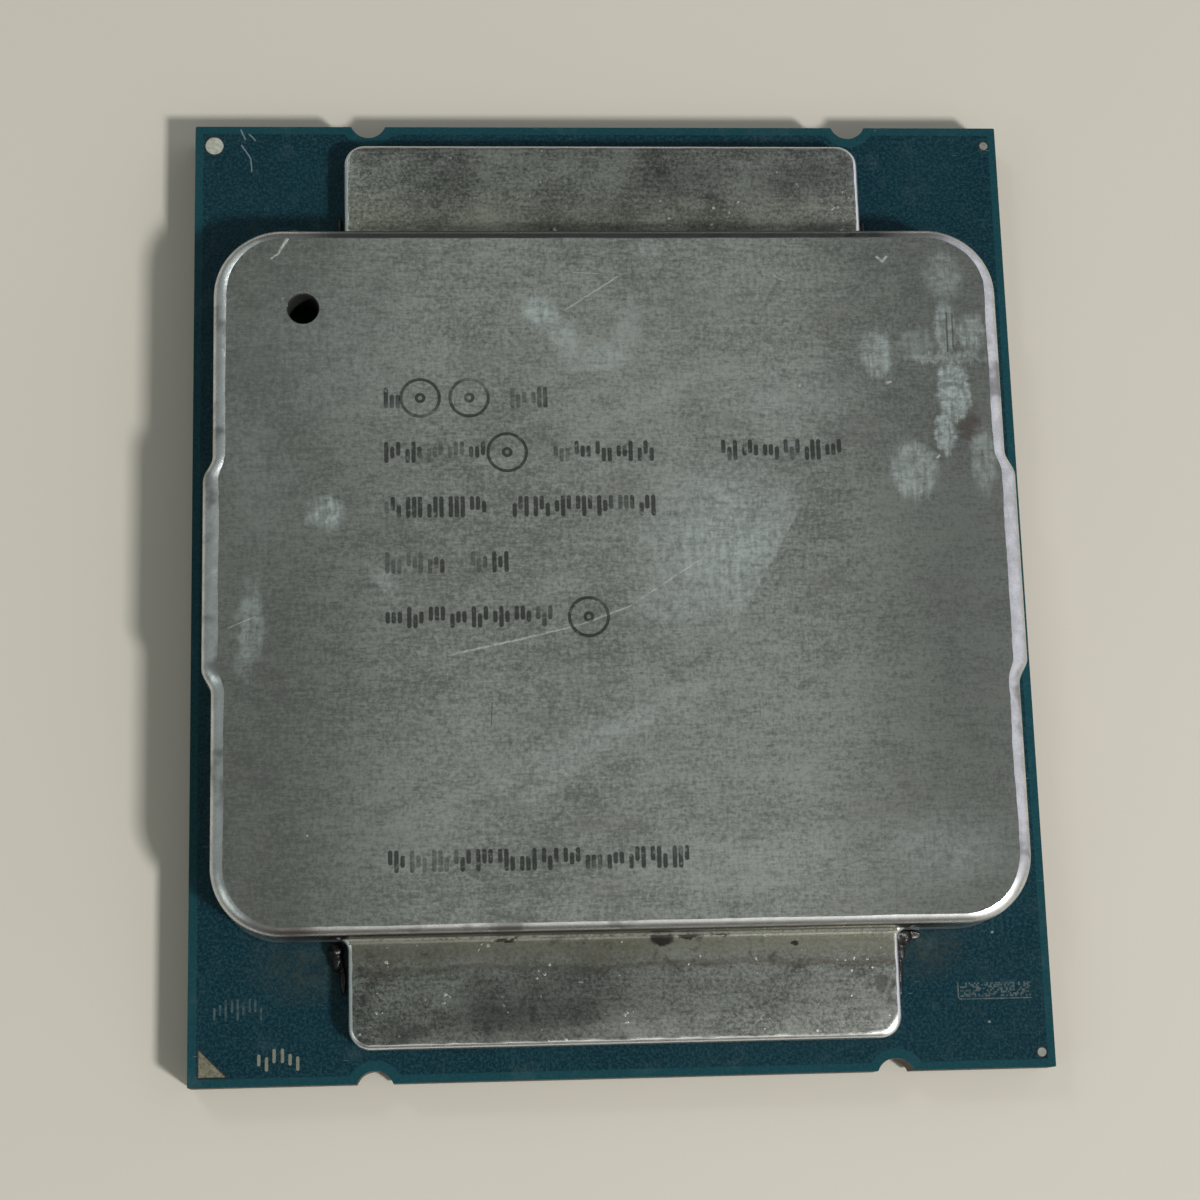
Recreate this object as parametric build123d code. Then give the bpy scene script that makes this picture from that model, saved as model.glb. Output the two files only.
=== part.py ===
from build123d import *
import math
import os

# Land-grid processor package: laminate substrate, flip-chip die, soldered heat spreader.
# Frame: origin at the centre of the land plane, z = 0 on the contact faces of the lands, +Z up through the
# heat spreader, X along the short side (45 mm), Y along the long side (52.5 mm). Millimetres.

# ---- substrate ----
SUBSTRATE_X = 45.0
SUBSTRATE_Y = 52.5
SUBSTRATE_TOP = 1.92            # upper face of the solder mask
SUBSTRATE_CORNER_R = 0.08
MASK_COVER = 0.02               # solder mask over copper
OUTER_COPPER = 0.02
BUILDUP = 0.20
CORE_COPPER = 0.035
COPPER_SETBACK = 0.40           # outer planes stop this far inside the outline
CORE_COPPER_SETBACK = 0.60

# keying notches in the two short edges
NOTCH_R = 1.0
NOTCH_CENTRE_OUT = 0.35         # notch centre lies this far outside the edge
NOTCH_XS = (-12.95, 14.05)
NOTCH_HALO = 0.50               # copper kept back from the notch wall

# ---- contact lands ----
LAND_COUNT = 2011
LAND_PITCH = 1.016
LAND_ROW_PITCH = LAND_PITCH * math.sqrt(3) / 2
LAND_ROWS = 58
LAND_COLUMNS = 43
LAND_R = 0.31
LAND_T = 0.03
CENTRE_FREE_COLUMNS = 16        # middle block left free for capacitors
CENTRE_FREE_ROWS = 24

# ---- alignment pads and pin 1 marks ----
PAD_RECESS = 0.005              # pads sit this far below the mask face
FIDUCIALS = ((-21.45, 25.11, 0.98), (21.83, 25.18, 0.46), (21.80, -25.48, 0.46))   # x, y, diameter
MASK_RELIEF = 0.06              # gap between a pad and its mask opening
PIN_ONE_CORNER = (-21.93, -25.72)   # right-angle corner of the triangle
PIN_ONE_LEG = 1.36

# ---- die and its joints ----
DIE_X = 17.6
DIE_Y = 20.2
DIE_T = 0.775
BUMP_R = 0.12
BUMP_GAP = 0.08                 # die face above the mask face
BUMP_PITCH = 1.1
BUMP_COLUMNS = 15
BUMP_ROWS = 17
WINDOW_MARGIN = 0.5             # mask window is this far inside the die edge
UNDERFILL_REACH = 0.9           # fillet spreads this far outside the die
UNDERFILL_CLIMB = 0.45          # and climbs this far up its side
BACK_METAL = 0.02
SOLDER_INTERFACE = 0.30
SOLDER_OVERHANG = 0.2
LID_GOLD = 0.02
LID_GOLD_OVERHANG = 0.9

# ---- heat spreader ----
LID_X = 42.4
LID_Y = 38.0
LID_TOP = SUBSTRATE_TOP + 3.35
LID_CORNER_R = 3.7
LID_EDGE_ROUND = 0.60
SIDE_BUMP_OUT = 0.5             # shallow locating bumps on the long sides
SIDE_BUMP_FLAT_HALF = 5.05
SIDE_BUMP_FOOT_HALF = 6.35
EAR_X = 28.54
EAR_END_Y = 24.6
EAR_TOP = SUBSTRATE_TOP + 1.45
EAR_CORNER_R = 1.15
EAR_ROOT_R = 0.55
EAR_EDGE_ROUND = 0.30
SEAL_T = 0.20                   # adhesive under the lid's foot
LID_FOOT = SUBSTRATE_TOP + SEAL_T
POCKET_X = 36.0
POCKET_Y = 32.0
POCKET_R = 1.5
VENT_XY = (-16.42, 14.40)
VENT_R = 0.80

# ---- sealant ----
SEAL_SETBACK = 0.5              # bead edge inside the lid's foot
EAR_SEAL_MARGIN = 0.6
BEAD_R = 0.55                   # squeezed-out beads in the ears' inner corners

# ---- chip capacitors, size 1.0 x 0.5 ----
CAP_LENGTH = 1.0
CAP_WIDTH = 0.5
CAP_HEIGHT = 0.38
CAP_TERMINAL = 0.22
CAP_PAD_T = 0.025
CAP_PAD_REACH = 0.14            # pad beyond the end of the terminal
CAP_SOLDER_CLIMB = 0.20
DIE_CAP_GAP = 2.6               # capacitor row centre outside the die edge
DIE_CAP_PITCH = 1.9
DIE_CAPS_PER_SIDE = 8
LAND_CAP_PITCH_X = 2.0
LAND_CAP_PITCH_Y = 1.5
LAND_CAP_COLUMNS = 7
LAND_CAP_ROWS = 12
EDGE_TOLERANCE = 0.01

# Heights of the substrate layers, from the land side up.
MASK_BOTTOM_FACE = LAND_T
COPPER_BOTTOM_FACE = MASK_BOTTOM_FACE + MASK_COVER
BUILDUP_BOTTOM_FACE = COPPER_BOTTOM_FACE + OUTER_COPPER
CORE_BOTTOM_FACE = BUILDUP_BOTTOM_FACE + BUILDUP
COPPER_TOP_FACE = SUBSTRATE_TOP - MASK_COVER
BUILDUP_TOP_FACE = COPPER_TOP_FACE - OUTER_COPPER
CORE_TOP_FACE = BUILDUP_TOP_FACE - BUILDUP

# Heights of the thermal joint, from the mask face up.
DIE_BOTTOM = SUBSTRATE_TOP + BUMP_GAP
DIE_TOP = DIE_BOTTOM + DIE_T
SOLDER_BOTTOM = DIE_TOP + BACK_METAL
GOLD_BOTTOM = SOLDER_BOTTOM + SOLDER_INTERFACE
POCKET_CEILING = GOLD_BOTTOM + LID_GOLD


# ---- helpers ----
def slab(sketch, bottom, top):
    """The sketch, drawn on XY, as a plate from bottom to top."""
    return extrude(Pos(0, 0, bottom) * sketch, amount=top - bottom)


def group(solids):
    """Separate solids kept together as one node."""
    return Compound(children=[s.solid() if isinstance(s, Part) else s for s in solids])


def notch_centres():
    """Centres of the four keying notches."""
    y = SUBSTRATE_Y / 2 + NOTCH_CENTRE_OUT
    return [(x, side * y) for side in (-1, 1) for x in NOTCH_XS]


def outline(setback=0.0, halo=0.0):
    """Substrate plan, drawn in by setback, with the notches grown by halo."""
    plate = RectangleRounded(
        SUBSTRATE_X - 2 * setback, SUBSTRATE_Y - 2 * setback, SUBSTRATE_CORNER_R
    )
    for x, y in notch_centres():
        plate -= Pos(x, y) * Circle(NOTCH_R + halo)
    return plate


def triangle(grow=0.0):
    """Pin 1 triangle, right angle at the outer corner, grown by grow on every side."""
    x, y = PIN_ONE_CORNER
    reach = PIN_ONE_LEG + grow * (1 + math.sqrt(2))
    return Polygon(
        (x - grow, y - grow), (x + reach, y - grow), (x - grow, y + reach), align=None
    )


def mark_openings():
    """Mask openings over the alignment pads and the triangle."""
    shapes = triangle(MASK_RELIEF)
    for x, y, diameter in FIDUCIALS:
        shapes += Pos(x, y) * Circle(diameter / 2 + MASK_RELIEF)
    return shapes


# ---- substrate layers ----
def substrate_core():
    body = slab(outline(), CORE_BOTTOM_FACE, CORE_TOP_FACE)
    return body - core_copper_top() - core_copper_bottom()


def core_copper_top():
    return slab(
        outline(CORE_COPPER_SETBACK, NOTCH_HALO), CORE_TOP_FACE - CORE_COPPER, CORE_TOP_FACE
    )


def core_copper_bottom():
    return slab(
        outline(CORE_COPPER_SETBACK, NOTCH_HALO),
        CORE_BOTTOM_FACE,
        CORE_BOTTOM_FACE + CORE_COPPER,
    )


def buildup_top():
    return slab(outline(), CORE_TOP_FACE, BUILDUP_TOP_FACE)


def buildup_bottom():
    return slab(outline(), BUILDUP_BOTTOM_FACE, CORE_BOTTOM_FACE)


def copper_plane_top():
    """Outer plane, cut back round the pads and the triangle, which sit at its level."""
    plan = outline(COPPER_SETBACK, NOTCH_HALO) - mark_openings()
    return slab(plan, BUILDUP_TOP_FACE, COPPER_TOP_FACE)


def copper_plane_bottom():
    plan = outline(COPPER_SETBACK, NOTCH_HALO) - triangle(MASK_RELIEF)
    return slab(plan, COPPER_BOTTOM_FACE, BUILDUP_BOTTOM_FACE)


def solder_mask_top():
    """Coating over the plane, down to the laminate round its edge, open at the die and the marks."""
    window = Rectangle(DIE_X - 2 * WINDOW_MARGIN, DIE_Y - 2 * WINDOW_MARGIN)
    plan = outline() - window - mark_openings()
    return slab(plan, BUILDUP_TOP_FACE, SUBSTRATE_TOP) - copper_plane_top()


def solder_mask_bottom():
    plan = outline() - triangle(MASK_RELIEF)
    return slab(plan, MASK_BOTTOM_FACE, BUILDUP_BOTTOM_FACE) - copper_plane_bottom()


# ---- pads and lands ----
def fiducial_pads():
    top = SUBSTRATE_TOP - PAD_RECESS
    return group(
        slab(Pos(x, y) * Circle(diameter / 2), BUILDUP_TOP_FACE, top)
        for x, y, diameter in FIDUCIALS
    )


def pin_one_mark_top():
    return slab(triangle(), BUILDUP_TOP_FACE, SUBSTRATE_TOP - PAD_RECESS)


def pin_one_mark_bottom():
    """The same corner, marked on the land side."""
    return slab(triangle(), MASK_BOTTOM_FACE + PAD_RECESS, BUILDUP_BOTTOM_FACE)


def land_sites():
    """Hexagonal lattice, without the middle block and the sites nearest the notches and corners."""
    half_x = SUBSTRATE_X / 2
    half_y = SUBSTRATE_Y / 2
    keep_clear = notch_centres() + [(i * half_x, j * half_y) for i in (-1, 1) for j in (-1, 1)]
    free_x = CENTRE_FREE_COLUMNS * LAND_PITCH / 2
    free_y = CENTRE_FREE_ROWS * LAND_ROW_PITCH / 2
    sites = []
    for row in range(LAND_ROWS):
        y = (row - (LAND_ROWS - 1) / 2) * LAND_ROW_PITCH
        stagger = (row % 2 - 0.5) * LAND_PITCH / 2
        for column in range(LAND_COLUMNS):
            x = (column - (LAND_COLUMNS - 1) / 2) * LAND_PITCH + stagger
            if abs(x) > free_x or abs(y) > free_y:
                sites.append((x, y))
    sites.sort(key=lambda site: min(math.dist(site, point) for point in keep_clear))
    return sites[-LAND_COUNT:]


def contact_lands():
    land = Pos(0, 0, LAND_T / 2) * Cylinder(LAND_R, LAND_T)
    return group(land.solid().moved(Location((x, y, 0))) for x, y in land_sites())


# ---- die, bumps and thermal joint ----
def silicon_die():
    return slab(Rectangle(DIE_X, DIE_Y), DIE_BOTTOM, DIE_TOP)


def die_bumps():
    height = DIE_BOTTOM - COPPER_TOP_FACE
    bump = Pos(0, 0, COPPER_TOP_FACE + height / 2) * Cylinder(BUMP_R, height)
    spots = GridLocations(BUMP_PITCH, BUMP_PITCH, BUMP_COLUMNS, BUMP_ROWS)
    return group(bump.solid().moved(spot) for spot in spots)


def underfill():
    """Resin fillet all round the die; its inner face meets the die's side and the bump field stays open."""
    sole = Rectangle(DIE_X + 2 * UNDERFILL_REACH, DIE_Y + 2 * UNDERFILL_REACH)
    crown = Rectangle(DIE_X + EDGE_TOLERANCE, DIE_Y + EDGE_TOLERANCE)
    crown_z = DIE_BOTTOM + UNDERFILL_CLIMB
    frustum = loft([Pos(0, 0, SUBSTRATE_TOP) * sole, Pos(0, 0, crown_z) * crown])
    window = Rectangle(DIE_X - 2 * WINDOW_MARGIN, DIE_Y - 2 * WINDOW_MARGIN)
    return frustum - slab(window, SUBSTRATE_TOP, crown_z) - silicon_die()


def die_back_metal():
    return slab(Rectangle(DIE_X, DIE_Y), DIE_TOP, SOLDER_BOTTOM)


def solder_interface():
    """Indium joint, slightly wider at the lid than at the die."""
    at_die = Pos(0, 0, SOLDER_BOTTOM) * Rectangle(DIE_X, DIE_Y)
    at_lid = Pos(0, 0, GOLD_BOTTOM) * Rectangle(
        DIE_X + 2 * SOLDER_OVERHANG, DIE_Y + 2 * SOLDER_OVERHANG
    )
    return loft([at_die, at_lid])


def lid_gold_patch():
    plan = Rectangle(DIE_X + 2 * LID_GOLD_OVERHANG, DIE_Y + 2 * LID_GOLD_OVERHANG)
    return slab(plan, GOLD_BOTTOM, POCKET_CEILING)


# ---- heat spreader ----
def lid_plan():
    """Main body in plan: rounded rectangle with a shallow bump in the middle of each long side."""
    face = LID_X / 2
    crest = face + SIDE_BUMP_OUT
    bumps = Polygon(
        (-crest, -SIDE_BUMP_FLAT_HALF),
        (-face, -SIDE_BUMP_FOOT_HALF),
        (face, -SIDE_BUMP_FOOT_HALF),
        (crest, -SIDE_BUMP_FLAT_HALF),
        (crest, SIDE_BUMP_FLAT_HALF),
        (face, SIDE_BUMP_FOOT_HALF),
        (-face, SIDE_BUMP_FOOT_HALF),
        (-crest, SIDE_BUMP_FLAT_HALF),
        align=None,
    )
    return RectangleRounded(LID_X, LID_Y, LID_CORNER_R) + bumps


def ear_plan():
    """Both ears and the part of the body between them, with rounded roots at the body's wall."""
    strip = RectangleRounded(EAR_X, 2 * EAR_END_Y, EAR_CORNER_R)
    plan = strip + lid_plan()
    roots = [
        v
        for v in plan.vertices()
        if abs(abs(v.X) - EAR_X / 2) < EDGE_TOLERANCE and abs(abs(v.Y) - LID_Y / 2) < EDGE_TOLERANCE
    ]
    return fillet(roots, EAR_ROOT_R)


def heat_spreader():
    body = slab(lid_plan(), LID_FOOT, LID_TOP)
    rim = body.faces().sort_by(Axis.Z)[-1].edges()
    body = fillet(rim, LID_EDGE_ROUND)
    ears = slab(ear_plan(), LID_FOOT, EAR_TOP)
    ear_rim = [
        e
        for e in ears.faces().sort_by(Axis.Z)[-1].edges()
        if abs(e.center().Y) > LID_Y / 2 + EAR_ROOT_R
    ]
    ears = fillet(ear_rim, EAR_EDGE_ROUND)
    lid = body + ears
    lid -= slab(RectangleRounded(POCKET_X, POCKET_Y, POCKET_R), LID_FOOT, POCKET_CEILING)
    lid -= slab(Pos(*VENT_XY) * Circle(VENT_R), LID_FOOT, LID_TOP)
    return lid


# ---- sealant ----
def lid_seal():
    """Adhesive ring under the foot of the main body."""
    ring = RectangleRounded(
        LID_X - 2 * SEAL_SETBACK, LID_Y - 2 * SEAL_SETBACK, LID_CORNER_R - SEAL_SETBACK
    )
    ring -= RectangleRounded(
        POCKET_X + 2 * SEAL_SETBACK, POCKET_Y + 2 * SEAL_SETBACK, POCKET_R + SEAL_SETBACK
    )
    return slab(ring, SUBSTRATE_TOP, LID_FOOT)


def ear_seal(side):
    """Adhesive strip under one ear; side is -1 at the front and 1 at the back."""
    inner = LID_Y / 2 + EAR_SEAL_MARGIN
    outer = EAR_END_Y - EAR_SEAL_MARGIN
    strip = RectangleRounded(EAR_X - 2 * EAR_SEAL_MARGIN, outer - inner, EAR_SEAL_MARGIN)
    return slab(Pos(0, side * (inner + outer) / 2) * strip, SUBSTRATE_TOP, LID_FOOT)


def seal_squeeze_out():
    """Cured beads on the substrate beside each ear's root, cut back to the lid's wall."""
    lid_space = slab(ear_plan(), SUBSTRATE_TOP, LID_TOP)
    below = Pos(0, 0, SUBSTRATE_TOP - BEAD_R) * Box(
        SUBSTRATE_X, SUBSTRATE_Y, 2 * BEAD_R
    )
    beads = []
    for i in (-1, 1):
        for j in (-1, 1):
            centre = Pos(i * (EAR_X / 2 + BEAD_R), j * (LID_Y / 2 + BEAD_R), SUBSTRATE_TOP)
            beads.append(centre * Sphere(BEAD_R) - lid_space - below)
    return group(beads)


# ---- chip capacitors, drawn once standing on z = 0 with their length along X ----
def capacitor_pad():
    length = CAP_TERMINAL + CAP_PAD_REACH
    x = CAP_LENGTH / 2 + CAP_PAD_REACH - length / 2
    return [Pos(i * x, 0, CAP_PAD_T / 2) * Box(length, CAP_WIDTH, CAP_PAD_T) for i in (-1, 1)]


def capacitor_solder():
    """A wedge of solder against each end of the chip."""
    x = CAP_LENGTH / 2
    profile = Polygon(
        (x, CAP_PAD_T),
        (x + CAP_PAD_REACH, CAP_PAD_T),
        (x, CAP_PAD_T + CAP_SOLDER_CLIMB),
        align=None,
    )
    wedge = extrude(Plane.XZ * profile, amount=CAP_WIDTH / 2, both=True)
    return [wedge, mirror(wedge, Plane.YZ)]


def capacitor_body():
    length = CAP_LENGTH - 2 * CAP_TERMINAL
    return [Pos(0, 0, CAP_PAD_T + CAP_HEIGHT / 2) * Box(length, CAP_WIDTH, CAP_HEIGHT)]


def capacitor_terminal():
    x = (CAP_LENGTH - CAP_TERMINAL) / 2
    return [
        Pos(i * x, 0, CAP_PAD_T + CAP_HEIGHT / 2) * Box(CAP_TERMINAL, CAP_WIDTH, CAP_HEIGHT)
        for i in (-1, 1)
    ]


def die_side_places():
    """Capacitors in a row along each side of the die, standing on the upper mask face."""
    places = []
    for side in (-1, 1):
        for index in range(DIE_CAPS_PER_SIDE):
            along = (index - (DIE_CAPS_PER_SIDE - 1) / 2) * DIE_CAP_PITCH
            places.append(Pos(side * (DIE_X / 2 + DIE_CAP_GAP), along, SUBSTRATE_TOP))
            places.append(
                Pos(along, side * (DIE_Y / 2 + DIE_CAP_GAP), SUBSTRATE_TOP) * Rot(0, 0, 90)
            )
    return places


def land_side_places():
    """Capacitors in the free block of the land side, hanging from the lower mask face."""
    grid = GridLocations(LAND_CAP_PITCH_X, LAND_CAP_PITCH_Y, LAND_CAP_COLUMNS, LAND_CAP_ROWS)
    return [Pos(0, 0, MASK_BOTTOM_FACE) * spot * Rot(180, 0, 0) for spot in grid]


def placed(pieces, places):
    return group(place * piece for place in places for piece in pieces)


CAPACITOR_PIECES = {
    "pads": capacitor_pad,
    "solder": capacitor_solder,
    "bodies": capacitor_body,
    "terminals": capacitor_terminal,
}
CAPACITOR_SIDES = {"die_side": die_side_places, "land_side": land_side_places}

NODES = {
    "substrate_core": substrate_core,
    "core_copper_top": core_copper_top,
    "core_copper_bottom": core_copper_bottom,
    "buildup_top": buildup_top,
    "buildup_bottom": buildup_bottom,
    "copper_plane_top": copper_plane_top,
    "copper_plane_bottom": copper_plane_bottom,
    "solder_mask_top": solder_mask_top,
    "solder_mask_bottom": solder_mask_bottom,
    "fiducial_pads": fiducial_pads,
    "pin_one_mark_top": pin_one_mark_top,
    "pin_one_mark_bottom": pin_one_mark_bottom,
    "contact_lands": contact_lands,
    "silicon_die": silicon_die,
    "die_bumps": die_bumps,
    "underfill": underfill,
    "die_back_metal": die_back_metal,
    "solder_interface": solder_interface,
    "lid_gold_patch": lid_gold_patch,
    "heat_spreader": heat_spreader,
    "lid_seal": lid_seal,
    "ear_seal_front": lambda: ear_seal(-1),
    "ear_seal_back": lambda: ear_seal(1),
    "seal_squeeze_out": seal_squeeze_out,
}


def main():
    os.makedirs("parts", exist_ok=True)
    for name, make in NODES.items():
        export_step(make(), os.path.join("parts", name + ".step"))
    for side, places in CAPACITOR_SIDES.items():
        for piece, make in CAPACITOR_PIECES.items():
            name = f"{side}_capacitor_{piece}"
            export_step(placed(make(), places()), os.path.join("parts", name + ".step"))


main()
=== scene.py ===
"""Looks for the land-grid processor package. Every length is in millimetres until it reaches a mesh."""
import math
import random

import bmesh
import bpy
from mathutils import Matrix, Vector, noise


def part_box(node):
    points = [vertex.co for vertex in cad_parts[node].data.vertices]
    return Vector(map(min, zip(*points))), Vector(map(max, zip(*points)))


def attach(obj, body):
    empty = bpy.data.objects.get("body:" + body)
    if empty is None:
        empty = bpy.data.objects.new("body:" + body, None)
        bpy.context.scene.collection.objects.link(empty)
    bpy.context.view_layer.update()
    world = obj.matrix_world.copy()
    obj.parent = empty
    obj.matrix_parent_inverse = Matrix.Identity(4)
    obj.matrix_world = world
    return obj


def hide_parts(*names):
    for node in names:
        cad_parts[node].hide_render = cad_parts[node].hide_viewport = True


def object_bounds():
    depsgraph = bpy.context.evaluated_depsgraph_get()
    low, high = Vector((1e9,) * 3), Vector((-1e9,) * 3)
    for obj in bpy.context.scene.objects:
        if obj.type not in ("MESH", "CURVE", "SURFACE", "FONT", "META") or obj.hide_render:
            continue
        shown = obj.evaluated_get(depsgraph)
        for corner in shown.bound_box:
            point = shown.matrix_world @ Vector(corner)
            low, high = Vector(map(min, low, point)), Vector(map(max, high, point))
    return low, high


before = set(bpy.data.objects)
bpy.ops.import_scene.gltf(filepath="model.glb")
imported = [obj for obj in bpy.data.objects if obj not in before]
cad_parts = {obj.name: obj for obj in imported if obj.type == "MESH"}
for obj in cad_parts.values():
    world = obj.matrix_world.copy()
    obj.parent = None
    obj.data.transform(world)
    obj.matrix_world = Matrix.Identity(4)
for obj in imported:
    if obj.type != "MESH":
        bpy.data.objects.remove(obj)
cad_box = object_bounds()

MM = 0.001
BODY = "root"


def node_box(node):
    """Lowest and highest corner of a CAD node, in millimetres."""
    low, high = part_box(node)
    return low / MM, high / MM


# ---- sizes read from the frame ----
lid_low, lid_high = node_box("heat_spreader")
mask_low, mask_high = node_box("solder_mask_top")
SUBSTRATE_TOP = mask_high.z
SUBSTRATE_HALF = Vector((mask_high.x, mask_high.y))
LID_TOP = lid_high.z
LID_FOOT = lid_low.z
EAR_END_Y = lid_high.y
POCKET_CEILING = node_box("lid_gold_patch")[1].z

# ---- lid shape, as in the CAD source ----
SIDE_BUMP_OUT = 0.5
LID_HALF = Vector((lid_high.x - SIDE_BUMP_OUT, 19.0))
LID_CORNER_R = 3.7
SIDE_BUMP_FLAT_HALF = 5.05
SIDE_BUMP_FOOT_HALF = 6.35
EAR_HALF_X = 14.27
EAR_TOP = SUBSTRATE_TOP + 1.45
EAR_CORNER_R = 1.15
EAR_ROOT_R = 0.55
POCKET_HALF = Vector((18.0, 16.0))
POCKET_R = 1.5
VENT_XY = Vector((-16.42, 14.4))
VENT_R = 0.8
VENT_SEGMENTS = 72
NOTCHES = [(x, side * (SUBSTRATE_HALF.y + 0.35)) for side in (-1, 1) for x in (-12.95, 14.05)]
NOTCH_R = 1.0

# ---- lid finish ----
OUTLINE_STEP = 0.16
SHARP_DEG = 30                  # edges that turn by more than this are shaded sharp
RIM_CREASE_DEG = 20             # the lapped top cuts the rolled rim at this angle
RIM_STEPS = 9
RIM_DROP = 0.62
RIM_WIDTH_ENDS = 0.5
RIM_WIDTH_BACK = 0.62
RIM_WIDTH_SIDES = 0.7
RIM_WIDTH_BUMPS = 0.87
EAR_ROUND = 0.32
EAR_ROUND_STEPS = 5
EAR_WORN_XY = Vector((13.9, -24.3))     # the front ear's right corner is rubbed rounder
EAR_WORN_MORE = 0.7
EAR_CREASE_DEG = 8
FOOT_BREAK = 0.08               # broken edge round the lid's foot
EAR_FOOT_BREAK = 0.06
STEP_Z = SUBSTRATE_TOP + 1.2    # a ring of the body's wall that lies below the ears' tops
DENT_COUNT = 14
DENT_SEED = 11
ROOT_FILLET = 0.28
ROOT_STEPS = 6
ROOT_SINK = 0.1                 # the fillet starts this far down in the ear
OVERLAP = 0.5                   # how far joined solids run into each other


# ---- mesh helpers ----
def new_object(name, data):
    """An object in the scene for a mesh, light or camera."""
    made = bpy.data.objects.new(name, data)
    bpy.context.scene.collection.objects.link(made)
    return made


def make_object(name, points, faces, materials=()):
    """A mesh object from points in millimetres."""
    mesh = bpy.data.meshes.new(name)
    mesh.from_pydata([Vector(p) * MM for p in points], [], faces)
    mesh.update()
    for material in materials:
        mesh.materials.append(material)
    return new_object(name, mesh)


def object_from_soup(name, soup):
    """A mesh object from a bmesh, which is freed."""
    mesh = bpy.data.meshes.new(name)
    soup.to_mesh(mesh)
    soup.free()
    return new_object(name, mesh)


def hand_over(piece, replaced=None):
    if replaced:
        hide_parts(replaced)
    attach(piece, BODY)


SQUARE = ((-1, -1), (1, -1), (1, 1), (-1, 1))       # anticlockwise corners


def circle(centre, radius, segments):
    """Plan points round a circle, anticlockwise from +X."""
    turns = [2 * math.pi * i / segments for i in range(segments)]
    return [(centre[0] + radius * math.cos(t), centre[1] + radius * math.sin(t)) for t in turns]


def line(start, end):
    """(point, outward normal) pairs along a straight run of an anticlockwise outline."""
    start = Vector(start)
    run = Vector(end) - start
    count = max(1, round(run.length / OUTLINE_STEP))
    normal = Vector((run.y, -run.x)).normalized()
    return [(start + run * i / count, normal) for i in range(count)]


def arc(centre, radius, start_deg, end_deg):
    """The same along an arc. A clockwise arc is concave, so its normal points at its centre."""
    sweep = math.radians(end_deg - start_deg)
    count = max(4, round(abs(sweep) * radius / OUTLINE_STEP))
    turn = 1 if sweep > 0 else -1
    pairs = []
    for i in range(count):
        angle = math.radians(start_deg) + sweep * i / count
        out = Vector((math.cos(angle), math.sin(angle)))
        pairs.append((Vector(centre) + out * radius, out * turn))
    return pairs


def rounded_rectangle(half, radius):
    """Anticlockwise outline of a rounded rectangle centred on the origin."""
    x, y = half.x - radius, half.y - radius
    return (
        line((half.x, -y), (half.x, y))
        + arc((x, y), radius, 0, 90)
        + line((x, half.y), (-x, half.y))
        + arc((-x, y), radius, 90, 180)
        + line((-half.x, y), (-half.x, -y))
        + arc((-x, -y), radius, 180, 270)
        + line((-x, -half.y), (x, -half.y))
        + arc((x, -y), radius, 270, 360)
    )


def skin_rings(name, rings):
    """A closed solid from a stack of rings with equal point counts, the first ring on top."""
    count = len(rings[0])
    points = [p for ring in rings for p in ring]
    faces = [list(range(count))]
    for level in range(len(rings) - 1):
        upper, lower = level * count, (level + 1) * count
        for i in range(count):
            j = (i + 1) % count
            faces.append((upper + j, upper + i, lower + i, lower + j))
    last = (len(rings) - 1) * count
    faces.append([last + i for i in reversed(range(count))])
    return make_object(name, points, faces)


def apply_modifiers(piece):
    graph = bpy.context.evaluated_depsgraph_get()
    mesh = bpy.data.meshes.new_from_object(piece.evaluated_get(graph))
    piece.modifiers.clear()
    piece.data = mesh


def combine(base, others, operation):
    """Boolean of base with each of the others, which are then deleted."""
    for other in others:
        modifier = base.modifiers.new(other.name, "BOOLEAN")
        modifier.operation = operation
        modifier.solver = "EXACT"
        modifier.object = other
    bpy.context.view_layer.update()
    apply_modifiers(base)
    for other in others:
        bpy.data.objects.remove(other)


def sharpen_top_edge(mesh):
    """Keeps a hard crease round faces of the first material, so their shading stays flat."""
    kinds = {}
    for face in mesh.polygons:
        for key in face.edge_keys:
            kinds.setdefault(key, set()).add(face.material_index == 0)
    sharp = mesh.attributes["sharp_edge"].data
    for edge in mesh.edges:
        if len(kinds[edge.key]) == 2:
            sharp[edge.index].value = True


def wobble(x, y, scale, seed):
    """Smooth noise between about -1 and 1 at a place in plan."""
    return noise.noise(Vector((x * scale, y * scale, seed)))


# ---- shader helpers ----
IN_PLAN = (1.0, 1.0, 0.0)           # a place times this is flat


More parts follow.
